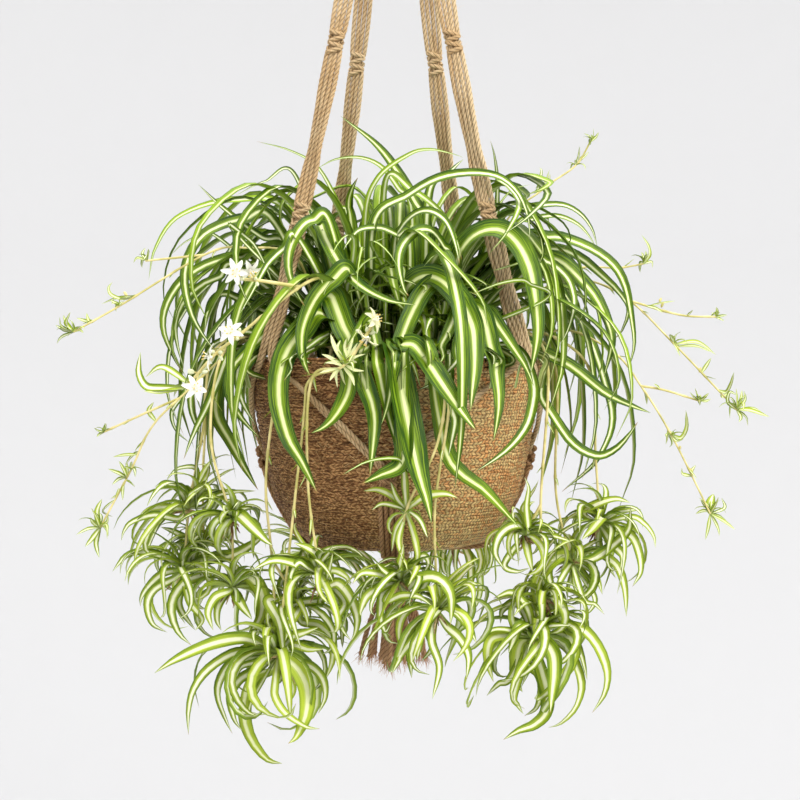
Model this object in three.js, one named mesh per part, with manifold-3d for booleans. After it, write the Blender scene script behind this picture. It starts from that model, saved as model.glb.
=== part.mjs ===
// A spider plant in a woven basket that hangs in a knotted cord hanger.
// Millimetres, +Z up, the front towards -Y. The origin is where a hook bears in the hanging ring.
import * as THREE from "three";
import { mergeVertices } from "three/addons/utils/BufferGeometryUtils.js";
import Module from "manifold-3d";

const wasm = await Module();
wasm.setup();

// Driving dimensions
const RIM_Z = -565; // the basket's rim, below the bearing point
const RIM_RADIUS = 131.5;
const WALL_THICK = 5;
const BASKET_DEPTH = 157;
const CORD_RADIUS = 2.1;
const SEAT_GAP = 0.3; // between pieces that touch
const TOUCH = 1e-4; // cubic millimetres that two solids may share and still count as clear
const AROUND = 24; // sides of the basket, the liner and the soil

// The view that the plant's leaves and runners were read from: places in it are [across, down] in an
// 800 by 800 frame, with a depth behind the hanging axis in millimetres.
const VIEW_DISTANCE = 1450;
const VIEW_SCALE = 0.86; // millimetres to one step of the frame, at the hanging axis
const VIEW_AXIS = 396;
const VIEW_HORIZON = 370;
const EYE_Z = -572.5;

// Basket: half-widths of the outside, and how far below the rim each one is
const BASKET_PROFILE = [
  [131.5, 0],
  [119.5, 46],
  [112, 86],
  [105, 114],
  [90, 141],
  [76, 154],
  [64, BASKET_DEPTH],
];

// Liner pot and soil
const LINER_TOP = 7; // below the rim
const LINER_WALL = 1.6;
const LINER_INSET = 1.2;
const SOIL_TOP = 24; // below the rim, at the liner
const SOIL_CROWN = 17; // below the rim, in the middle
const CROWN_RADIUS = 52;
const CROWN_SIDES = 12;
const CROWN_DEPTH = 30;
const CROWN_TOP_Z = RIM_Z - 13;
const PEG_SIDES = 6;
const PEG_RADIUS = 3.6;
const PEG_DEPTH = 16;

// Ring and hanger
const RING_EYE = 15;
const RING_WIRE = 2.5;
const WRAP_TOP_Z = -2 * (RING_EYE + RING_WIRE) - SEAT_GAP;
const WRAP_BOTTOM_Z = -58;
const WRAP_RADIUS = 15.4;
const ARM_TOP = { x: 7.6, front: -5, back: 6, pitch: 3.4 };
const ARM_PITCH = 4.9; // between the middles of the loose strands
const KNOT_PITCH = 3.3; // inside a knot
const KNOTTED_RADIUS = 1.6; // of a strand where a knot squeezes it
const STRAND_SHIFTS = [-1.5, -0.5, 0.5, 1.5];
const UPPER_KNOT_Z = -300;
const LOWER_KNOT_Z = -445;
const KNOT_HALF = 10;
const KNOT_WIDE = 7.4; // half of its width
const KNOT_THICK = 4.2;
const FRONT_ARM = 51; // degrees from the front
const BACK_ARM = 148;
const PAIR_SPREAD = 3.4; // degrees between an arm's line and each of its pairs at the rim
const CORD_SEAT = 3.3; // from the basket's wall to the middle of a cord
const NET_KNOT_DROP = 88; // below the rim
const BASE_WRAP_RADIUS = 12;
const BASE_WRAP_LENGTH = 30;
const TASSEL_LENGTH = 76;
const TASSEL_SPREAD = 31;

const UP = new THREE.Vector3(0, 0, 1);
const FORWARD = new THREE.Vector3(0, -1, 0);
const GOLDEN_ANGLE = 137.508;
const radians = THREE.MathUtils.degToRad;
const mix = THREE.MathUtils.lerp;

function seeded(seed) {
  let state = seed;
  return () => {
    state = (Math.imul(state, 1664525) + 1013904223) >>> 0;
    return state / 4294967296;
  };
}

// A point of the view as a point in space.
function seen(across, down, depth) {
  const scale = (VIEW_SCALE * (VIEW_DISTANCE + depth)) / VIEW_DISTANCE;
  const x = (across - VIEW_AXIS) * scale;
  const z = EYE_Z - (down - VIEW_HORIZON) * scale;
  return new THREE.Vector3(x, depth, z);
}

// Azimuth is counted from the front, and is positive towards +X.
function around(degrees, radius, z) {
  const angle = radians(degrees);
  return new THREE.Vector3(radius * Math.sin(angle), -radius * Math.cos(angle), z);
}

function wallRadius(z) {
  const drop = RIM_Z - z;
  for (let i = 1; i < BASKET_PROFILE.length; i += 1) {
    const [wide, high] = BASKET_PROFILE[i - 1];
    const [narrow, low] = BASKET_PROFILE[i];
    if (drop <= low) return mix(wide, narrow, Math.max(0, (drop - high) / (low - high)));
  }
  return BASKET_PROFILE.at(-1)[0];
}

// Solids from rings: each ring joins the next, a fan closes each end, and a ring of one point is a tip.
// A ring runs counterclockwise about the way that the rings go.
function skin(rings) {
  const positions = rings.flat().flatMap((p) => [p.x, p.y, p.z]);
  const faces = [];
  const starts = [];
  let count = 0;
  for (const ring of rings) {
    starts.push(count);
    count += ring.length;
  }
  for (let i = 1; i < rings.length; i += 1) {
    const near = rings[i - 1].length;
    const far = rings[i].length;
    const sides = Math.max(near, far);
    for (let k = 0; k < sides; k += 1) {
      const a = starts[i - 1] + (k % near);
      const b = starts[i - 1] + ((k + 1) % near);
      const c = starts[i] + ((k + 1) % far);
      const d = starts[i] + (k % far);
      if (near > 1) faces.push(a, b, c);
      if (far > 1) faces.push(a, c, d);
    }
  }
  const first = rings[0].length;
  for (let k = 1; k + 1 < first; k += 1) faces.push(0, k + 1, k);
  const last = starts.at(-1);
  for (let k = 1; k + 1 < rings.at(-1).length; k += 1) faces.push(last, last + k, last + k + 1);
  return solid(positions, faces);
}

function solid(positions, faces) {
  const mesh = new wasm.Mesh({
    numProp: 3,
    vertProperties: new Float32Array(positions),
    triVerts: new Uint32Array(faces),
  });
  return new wasm.Manifold(mesh);
}

function solidOf(geometry) {
  geometry.deleteAttribute("normal");
  geometry.deleteAttribute("uv");
  const merged = mergeVertices(geometry, 1e-4);
  return solid(merged.attributes.position.array, merged.index.array);
}

// The profile is [radius, z] from the axis, up the outside and back to the axis.
function turned(profile, sides) {
  const points = profile.map(([radius, z]) => new THREE.Vector2(radius, z));
  const geometry = new THREE.LatheGeometry(points, sides);
  geometry.rotateX(Math.PI / 2);
  return solidOf(geometry);
}

function join(solids) {
  return wasm.Manifold.union(solids);
}

// The largest body of a solid: a cut may leave loose scraps.
function largest(made) {
  return made.decompose().reduce((best, body) => (body.volume() > best.volume() ? body : best));
}

function overlap(a, b) {
  return a.intersect(b).volume();
}

// A round cord through points, with a ring at each point and a radius that may change along it.
function cord(points, radius, sides) {
  const curve = new THREE.CatmullRomCurve3(points, false, "catmullrom", 0.5);
  const steps = points.length - 1;
  let side = null;
  const rings = points.map((point, i) => {
    const along = curve.getTangent(i / steps);
    if (!side) {
      const level = Math.abs(along.x) < 0.8 ? new THREE.Vector3(1, 0, 0) : FORWARD;
      side = level.clone();
    }
    side.addScaledVector(along, -side.dot(along)).normalize();
    const other = along.clone().cross(side);
    const size = typeof radius === "function" ? radius(i / steps) : radius;
    return Array.from({ length: sides }, (_, k) => {
      const angle = (2 * Math.PI * k) / sides;
      return point
        .clone()
        .addScaledVector(side, size * Math.cos(angle))
        .addScaledVector(other, size * Math.sin(angle));
    });
  });
  return skin(rings);
}

// Basket, liner pot and soil
function basketSolid() {
  const outside = BASKET_PROFILE.map(([radius, drop]) => [radius, RIM_Z - drop]).reverse();
  const floor = RIM_Z - BASKET_DEPTH + WALL_THICK;
  const inside = BASKET_PROFILE.slice(0, -2)
    .filter((_, i) => i !== 1)
    .map(([radius, drop]) => [radius - WALL_THICK, RIM_Z - drop]);
  const bottom = [
    [62, floor],
    [0, floor],
  ];
  return turned([[0, RIM_Z - BASKET_DEPTH], ...outside, ...inside, ...bottom], AROUND);
}

function linerRadius(drop) {
  return wallRadius(RIM_Z - drop) - WALL_THICK - LINER_INSET;
}

const LINER_DROPS = [LINER_TOP, 112, 138];
const LINER_FLOOR_RADIUS = 56;

function linerProfile(inset, floor) {
  const wall = LINER_DROPS.map((drop) => [linerRadius(drop) - inset, RIM_Z - drop]);
  return [[0, floor], [LINER_FLOOR_RADIUS - inset, floor], ...wall.reverse()];
}

function linerSolid() {
  const floor = RIM_Z - BASKET_DEPTH + WALL_THICK + SEAT_GAP;
  const outside = linerProfile(0, floor);
  const inside = linerProfile(LINER_WALL, floor + LINER_WALL).reverse();
  return turned([...outside, ...inside], AROUND);
}

function soilSolid(pegs) {
  const floor = RIM_Z - BASKET_DEPTH + WALL_THICK + 2 * SEAT_GAP + LINER_WALL;
  const body = linerProfile(LINER_WALL + SEAT_GAP + 0.1, floor).filter((_, i) => i !== 2).slice(0, -1);
  const top = [
    [linerRadius(SOIL_TOP) - LINER_WALL - SEAT_GAP - 0.1, RIM_Z - SOIL_TOP],
    [0, RIM_Z - SOIL_CROWN],
  ];
  const holes = [plug(0, 0, CROWN_RADIUS + SEAT_GAP, CROWN_DEPTH + SEAT_GAP, CROWN_SIDES)];
  for (const [x, y] of pegs) holes.push(plug(x, y, PEG_RADIUS + SEAT_GAP, PEG_DEPTH + SEAT_GAP, PEG_SIDES));
  return turned([...body, ...top], AROUND).subtract(join(holes));
}

// An upright peg that reaches from below the soil's surface to above it.
function plug(x, y, radius, depth, sides) {
  const top = CROWN_TOP_Z;
  const bottom = RIM_Z - SOIL_CROWN - depth;
  return skin(
    [bottom, top].map((z) =>
      Array.from({ length: sides }, (_, k) => {
        const angle = (2 * Math.PI * k) / sides;
        return new THREE.Vector3(x + radius * Math.cos(angle), y + radius * Math.sin(angle), z);
      }),
    ),
  );
}

// Hanging ring, and the wraps that close the strands
function ringSolid() {
  const geometry = new THREE.TorusGeometry(RING_EYE + RING_WIRE, RING_WIRE, 6, 18);
  geometry.rotateX(Math.PI / 2);
  geometry.translate(0, 0, -RING_EYE);
  return solidOf(geometry);
}

function topWrapSolid() {
  const profile = [
    [0, WRAP_BOTTOM_Z],
    [WRAP_RADIUS, WRAP_BOTTOM_Z],
    [WRAP_RADIUS, WRAP_BOTTOM_Z + 4],
    [12.5, WRAP_BOTTOM_Z + 11],
    [9, WRAP_TOP_Z],
    [0, WRAP_TOP_Z],
  ];
  return turned(profile, 12);
}

function baseWrapSolid(gap) {
  const top = RIM_Z - BASKET_DEPTH - SEAT_GAP;
  const bottom = top - BASE_WRAP_LENGTH;
  const profile = [
    [0, bottom - gap],
    [BASE_WRAP_RADIUS - 1 + gap, bottom - gap],
    [BASE_WRAP_RADIUS + gap, (top + bottom) / 2],
    [BASE_WRAP_RADIUS + gap, top],
    [0, top],
  ];
  return turned(profile, 12);
}

// A knot is a block round the strands, with a waist at its middle: [place along it, share of its width].
const KNOT_SHAPE = [
  [-1, 1],
  [0, 0.88],
  [1, 1],
];
const KNOT_CORNERS = [
  [1, 1],
  [-1, 1],
  [-1, -1],
  [1, -1],
];

function knotSolid(middle, along, out, gap) {
  const side = out.clone().addScaledVector(along, -out.dot(along)).normalize();
  const across = along.clone().cross(side);
  const rings = KNOT_SHAPE.map(([place, share]) =>
    KNOT_CORNERS.map(([deep, wide]) =>
      middle
        .clone()
        .addScaledVector(along, place * (KNOT_HALF + gap))
        .addScaledVector(side, deep * (KNOT_THICK * share + gap))
        .addScaledVector(across, wide * (KNOT_WIDE * share + gap)),
    ),
  );
  return skin(rings);
}

// The line of an arm: straight from the wrap to where it meets the basket's rim.
function armLine(azimuth) {
  const front = Math.abs(azimuth) < 90;
  const y = front ? ARM_TOP.front : ARM_TOP.back;
  const top = new THREE.Vector3(Math.sign(azimuth) * ARM_TOP.x, y, WRAP_BOTTOM_Z - SEAT_GAP);
  const foot = around(azimuth, RIM_RADIUS + CORD_SEAT, RIM_Z);
  return (z) => top.clone().lerp(foot, (z - top.z) / (foot.z - top.z));
}

// Net knots sit on the wall between two arms.
const NET_KNOTS = {
  front: { azimuth: -3, drop: NET_KNOT_DROP + 6 },
  right: { azimuth: 100, drop: NET_KNOT_DROP - 4 },
  back: { azimuth: 180, drop: NET_KNOT_DROP + 2 },
  left: { azimuth: -100, drop: NET_KNOT_DROP - 4 },
};
const WALL_STEPS = 4;

function onWall(azimuth, z) {
  return around(azimuth, wallRadius(z) + CORD_SEAT, z);
}

function netKnotSolid(name, gap) {
  const { azimuth, drop } = NET_KNOTS[name];
  const out = around(azimuth, 1, 0);
  const z = RIM_Z - drop;
  const middle = around(azimuth, wallRadius(z) + KNOT_THICK + 4 * SEAT_GAP, z);
  const along = onWall(azimuth, z - KNOT_HALF).sub(onWall(azimuth, z + KNOT_HALF)).normalize();
  return knotSolid(middle, along, out, gap);
}

// A strand of an arm in three stretches, which end inside the knots: to the upper knot, to the lower knot,
// and over the rim and along the wall to a net knot.
const KNOT_SINK = 5;

function strandRadius(share) {
  return mix(KNOTTED_RADIUS, CORD_RADIUS, Math.min(1, 8 * share * (1 - share)));
}

function armStrand(azimuth, shift, toLeft, toRight) {
  const line = armLine(azimuth);
  const beside = (z, pitch) => line(z).add(new THREE.Vector3(shift * pitch, 0, 0));
  const inside = KNOT_HALF - KNOT_SINK;
  const upper = [
    beside(WRAP_BOTTOM_Z - SEAT_GAP, ARM_TOP.pitch),
    beside((WRAP_BOTTOM_Z + UPPER_KNOT_Z) / 2, ARM_PITCH),
    beside(UPPER_KNOT_Z + inside, KNOT_PITCH),
  ];
  const middle = [
    beside(UPPER_KNOT_Z - inside, KNOT_PITCH),
    beside((UPPER_KNOT_Z + LOWER_KNOT_Z) / 2, ARM_PITCH),
    beside(LOWER_KNOT_Z + inside, KNOT_PITCH),
  ];
  const lower = [beside(LOWER_KNOT_Z - inside, KNOT_PITCH)];
  const pair = Math.sign(shift);
  const inPair = shift - pair;
  const turn = Math.abs(azimuth) < 90 ? pair : -pair;
  const knot = NET_KNOTS[turn < 0 ? toLeft : toRight];
  const rimAzimuth = azimuth + turn * PAIR_SPREAD;
  const reach = ((knot.azimuth - rimAzimuth + 540) % 360) - 180;
  const apart = 2 * inPair * (CORD_RADIUS + 0.15);
  const degreesApart = THREE.MathUtils.radToDeg(apart / RIM_RADIUS);
  for (let i = 0; i <= WALL_STEPS; i += 1) {
    const share = i / WALL_STEPS;
    const level = Math.min(1, 2 * share);
    const z = mix(RIM_Z + 2, RIM_Z - knot.drop + KNOT_SINK, share) - apart * turn * level;
    lower.push(onWall(rimAzimuth + reach * share + degreesApart * pair * turn * (1 - level), z));
  }
  return [upper, middle, lower].map((points) => cord(points, strandRadius, 4));
}

function armSolid(azimuth, toLeft, toRight) {
  const line = armLine(azimuth);
  const along = line(RIM_Z).sub(line(0)).normalize();
  const strands = STRAND_SHIFTS.flatMap((shift) => armStrand(azimuth, shift, toLeft, toRight));
  const knots = [UPPER_KNOT_Z, LOWER_KNOT_Z].map((z) => knotSolid(line(z), along, FORWARD, 0));
  const netKnots = [toLeft, toRight].map((name) => netKnotSolid(name, SEAT_GAP));
  return largest(join([...strands, ...knots]).subtract(join(netKnots)));
}

// A net knot with its four strands, which run down the wall and under the floor to the base wrap.
function netSolid(name) {
  const { azimuth, drop } = NET_KNOTS[name];
  const beside = around(azimuth + 90, 1, 0);
  const low = RIM_Z - BASKET_DEPTH - CORD_SEAT;
  const spine = [
    onWall(azimuth, RIM_Z - drop - KNOT_SINK),
    onWall(azimuth, RIM_Z - 116),
    onWall(azimuth, RIM_Z - 143),
    around(azimuth, 79, RIM_Z - BASKET_DEPTH - 0.4),
    around(azimuth, 64, low),
    around(azimuth, BASE_WRAP_RADIUS + SEAT_GAP - 2, low),
  ];
  const strands = STRAND_SHIFTS.map((shift) => {
    const points = spine.map((point, i) => {
      const pitch = i < 1 ? KNOT_PITCH : 2 * CORD_RADIUS + 0.1;
      return point.clone().addScaledVector(beside, shift * pitch);
    });
    return cord(points, (share) => (share > 0 ? CORD_RADIUS : KNOTTED_RADIUS), 4);
  });
  return largest(join([...strands, netKnotSolid(name, 0)]).subtract(baseWrapSolid(SEAT_GAP)));
}

function tasselSolid() {
  const top = RIM_Z - BASKET_DEPTH - 2 * SEAT_GAP - BASE_WRAP_LENGTH;
  const random = seeded(41);
  const head = turned(
    [
      [0, top - 14],
      [10.5, top - 14],
      [9.5, top],
      [0, top],
    ],
    8,
  );
  const strands = Array.from({ length: 16 }, (_, k) => {
    const azimuth = k * (GOLDEN_ANGLE + 3 * random());
    const share = Math.sqrt((k + 0.6) / 16);
    const length = TASSEL_LENGTH * mix(0.9, 1, random());
    const points = [
      around(azimuth, 8.6 * share, top - 12),
      around(azimuth, 20 * share, top - length * 0.55),
      around(azimuth, TASSEL_SPREAD * share, top - length),
    ];
    return cord(points, (place) => mix(KNOTTED_RADIUS, CORD_RADIUS, place), 4);
  });
  return largest(join([head, ...strands]));
}

// Leaves. A blade narrows to its root and runs out to a point; share is its place from root to tip.
function bladeWidth(share) {
  const rise = Math.sin(Math.min(share / 0.45, 1) * (Math.PI / 2));
  return (0.34 + 0.66 * rise) * (1 - share ** 2.4);
}

// A leaf near the basket stays outside the wall and the net on it.
const LEAF_CLEARANCE = 10;
const CLEARING_STARTS = 85; // a leaf's root, nearer the axis than this, is left alone
const RIM_CLEARING = 14;

function keptOutside(point) {
  const radius = Math.hypot(point.x, point.y);
  const above = Math.max(0, point.z - RIM_Z - RIM_CLEARING);
  const wanted = wallRadius(point.z) + LEAF_CLEARANCE - 1.2 * above;
  if (point.z < RIM_Z - BASKET_DEPTH || radius < CLEARING_STARTS || radius >= wanted) return point;
  point.x *= wanted / radius;
  point.y *= wanted / radius;
  return point;
}

// The rings of a three-sided blade along a curve: two edges and a keel, and a tip. Its face leans to the
// front by facing.
function bladeRings({ points, width, steps, facing = 0, spare = 0 }) {
  const curve = new THREE.CatmullRomCurve3(points, false, "catmullrom", 0.5);
  const samples = curve.getPoints(steps).map(keptOutside);
  const heading = samples.at(-1).clone().sub(samples[0]).setZ(0);
  if (heading.length() < 1) heading.copy(FORWARD);
  const flank = heading.normalize().cross(UP);
  return samples.map((point, i) => {
    if (i === steps) return [point];
    const before = samples[Math.max(0, i - 1)];
    const along = samples[i + 1].clone().sub(before).normalize();
    const face = flank.clone().cross(along).normalize().addScaledVector(FORWARD, facing);
    face.addScaledVector(along, -face.dot(along)).normalize();
    const across = along.clone().cross(face);
    const half = (width * bladeWidth(i / steps)) / 2 + spare;
    const keel = Math.max(0.9, 0.26 * half) + 2 * spare;
    return [
      point.clone().addScaledVector(across, half).addScaledVector(face, spare),
      point.clone().addScaledVector(face, -keel),
      point.clone().addScaledVector(across, -half).addScaledVector(face, spare),
    ];
  });
}

function blade(leaf) {
  return skin(bladeRings(leaf));
}

// Leaves of the main tuft that the front view shows, each as
// [width, depth at its first place, depth at its tip, [across, down], ...] from the root side to the tip.
const TUFT_LEAVES = [
  // upright and arching leaves at the top
  [10, 20, 30, [410, 190], [388, 157], [357, 127], [340, 115]],
  [5, 30, 25, [348, 222], [318, 168], [290, 151], [256, 142]],
  [6, 70, 90, [400, 175], [370, 160], [335, 162], [318, 170]],
  [6, 40, 10, [298, 181], [265, 182], [236, 196]],
  [9, 0, -20, [350, 225], [348, 205], [352, 190], [358, 178]],
  [7, -30, -40, [365, 225], [372, 185], [410, 153], [450, 153], [460, 157]],
  [9, 20, 60, [405, 200], [440, 170], [466, 158]],
  [6, 25, 20, [492, 217], [498, 180], [494, 158], [489, 140]],
  // left side
  [10, -10, -50, [290, 248], [262, 237], [222, 207], [199, 185]],
  [8, 20, -20, [290, 215], [235, 200], [180, 216], [155, 250], [149, 280]],
  [10, -20, -60, [275, 217], [210, 232], [187, 280], [197, 330], [222, 362]],
  [9, -30, -60, [262, 258], [215, 259], [170, 296], [162, 325], [186, 372]],
  [9, -40, -70, [240, 268], [198, 288], [175, 325], [176, 345], [186, 370]],
  [5, 20, 10, [220, 239], [190, 240], [168, 258]],
  // right side
  [9, -50, -90, [395, 212], [440, 178], [490, 174], [526, 218], [529, 245]],
  [8, 20, 10, [497, 226], [540, 205], [578, 213], [597, 250]],
  [10, -10, 0, [525, 240], [580, 243], [628, 305], [630, 355], [620, 378]],
  [7, 40, 30, [530, 252], [585, 259], [628, 310], [613, 338]],
  [14, -30, -40, [545, 258], [592, 303], [610, 350], [602, 375]],
  [7, -20, -40, [540, 256], [572, 288], [568, 328], [560, 342]],
  // front, arching over the rim
  [12, -80, -115, [345, 230], [318, 222], [293, 248], [290, 270], [307, 308]],
  [13, -60, -120, [325, 243], [360, 283], [405, 303], [418, 303]],
  [13, -80, -125, [360, 270], [325, 285], [303, 330], [303, 352], [310, 378]],
  [13, -40, -75, [410, 232], [378, 226], [345, 245]],
  [18, -70, -150, [335, 292], [365, 345], [375, 420], [368, 480]],
  [19, -60, -110, [462, 235], [487, 228], [525, 270], [540, 325], [532, 368]],
  [18, -70, -140, [410, 283], [435, 270], [468, 310], [477, 370], [470, 412]],
  [9, -60, -120, [455, 265], [425, 228], [398, 255], [410, 293]],
  [11, -80, -140, [438, 282], [412, 320], [395, 370], [388, 400]],
  [9, -90, -120, [458, 305], [445, 345], [432, 362]],
  [16, -70, -125, [478, 305], [495, 365], [500, 395], [493, 440]],
  [11, -60, -105, [478, 300], [520, 355], [533, 378]],
  [8, -100, -130, [455, 325], [450, 368], [418, 392]],
  [20, -132, -150, [392, 338], [400, 400], [420, 470], [432, 530]],
  [14, -134, -140, [405, 335], [445, 395], [478, 432]],
  [11, -120, -142, [396, 312], [387, 360], [388, 400], [403, 458]],
  [11, -134, -138, [366, 330], [358, 372], [345, 410], [310, 434]],
  [13, -80, -105, [320, 320], [280, 365], [275, 400], [298, 468]],
  // low on the right and the left
  [12, -136, -90, [426, 334], [446, 405], [480, 480], [525, 530]],
  [7, -88, -112, [497, 318], [530, 375], [538, 402], [508, 452], [478, 470]],
  [8, -40, -60, [540, 340], [600, 388], [651, 413]],
  [7, -20, -50, [548, 326], [562, 392], [600, 452], [638, 420]],
  [11, 10, -20, [560, 300], [610, 400], [600, 455], [562, 492]],
  [14, -40, -60, [245, 330], [215, 400], [235, 450], [258, 490]],
  [11, -50, -80, [264, 325], [228, 390], [240, 425], [262, 437]],
  [7, -30, -50, [220, 340], [170, 400], [172, 430], [190, 445]],
  [9, -10, -40, [240, 320], [203, 370], [183, 463]],
];

const HAND_STEPS = 5;
const ROOT_SPREAD = 44;
const ROOT_RISE = 34; // a leaf climbs this far before it leans out
const ROOT_Z = CROWN_TOP_Z - 9;

function tuftLeaf([width, near, far, ...places], bend) {
  const last = places.length - 1;
  const points = places.map(([across, down], i) => seen(across, down, mix(near, far, i / last) + bend));
  const out = points[0].clone().setZ(0);
  const root = out.multiplyScalar(Math.min(0.4, ROOT_SPREAD / out.length())).setZ(ROOT_Z);
  const risen = root.clone().multiplyScalar(1.2).setZ(ROOT_Z + ROOT_RISE);
  return { points: [root, risen, ...points], width: width * VIEW_SCALE, steps: HAND_STEPS, facing: 0.7 };
}

// The rest of the tuft goes all round by a rule, clear of the hanger's arms: long outer leaves that hang over
// the rim, and shorter inner ones that stand.
const RULE_LEAVES = 42;
const RULE_DRAWS = 7; // random numbers for each of them
const TUFT_SEED = 5;
const ARM_AZIMUTHS = [-FRONT_ARM, FRONT_ARM, -BACK_ARM, BACK_ARM];
const ARM_MARGIN = 13; // degrees

function clearOfArms(azimuth) {
  let turned = ((azimuth + 540) % 360) - 180;
  for (const arm of ARM_AZIMUTHS) {
    const off = turned - arm;
    if (Math.abs(off) < ARM_MARGIN) turned = arm + (off < 0 ? -ARM_MARGIN : ARM_MARGIN);
  }
  return turned;
}

function ruleLeaf(index, draws, bend) {
  const azimuth = clearOfArms(index * GOLDEN_ANGLE + 8 * draws[0] + bend);
  const inner = index % 3 === 0 || Math.abs(azimuth) < 42;
  const reach = inner ? mix(70, 125, draws[1]) : mix(140, 205, draws[1]);
  const height = inner ? mix(105, 185, draws[2]) : mix(85, 150, draws[2]);
  const fall = inner ? mix(15, 80, draws[3]) : mix(110, 225, draws[3]);
  const sway = 14 * (draws[4] - 0.5);
  const width = mix(9, 15, draws[5]);
  const start = mix(12, ROOT_SPREAD - 3, (reach - 70) / 135) + 6 * (draws[6] - 0.5);
  const points = [
    around(azimuth, start, ROOT_Z),
    around(azimuth, mix(start, reach, 0.22), ROOT_Z + 0.72 * height),
    around(azimuth, mix(start, reach, 0.58), ROOT_Z + height),
    around(azimuth + 0.4 * sway, mix(start, reach, 0.93), ROOT_Z + height - 0.3 * fall),
    around(azimuth + sway, reach, ROOT_Z + height - fall),
  ];
  return { points, width, steps: inner ? 4 : 5, facing: 0 };
}

// Trailing runners with plantlets, and the thin side runners. A stem is a list of [across, down, depth].
const STEM_RADIUS = 1.5;
const TWIG_RADIUS = 1.1;

// Leaves of a plantlet: they stand up and out from its heart and arch over, the outer ones hanging.
function plantletLeaf(heart, size, index, count, draws, bend) {
  const azimuth = index * GOLDEN_ANGLE + 40 * draws[0] + bend;
  const level = (index + 0.5) / count;
  const length = size * mix(0.8, 1.15, draws[1]);
  const lift = mix(0.75, 0.02, level);
  const out = around(azimuth, 1, 0);
  const at = (far, up) => heart.clone().addScaledVector(out, far * length).addScaledVector(UP, up * length);
  const reach = mix(0.35, 0.72, level);
  const hang = mix(0.1, 0.95, level) * mix(0.75, 1.1, draws[2]);
  return [
    at(0, 0.05),
    at(0.45 * reach, 0.42 * lift + 0.08),
    at(0.85 * reach, 0.5 * lift),
    at(1.05 * reach, 0.4 * lift - 0.5 * hang),
    at(reach, 0.3 * lift - hang),
  ];
}

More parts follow.
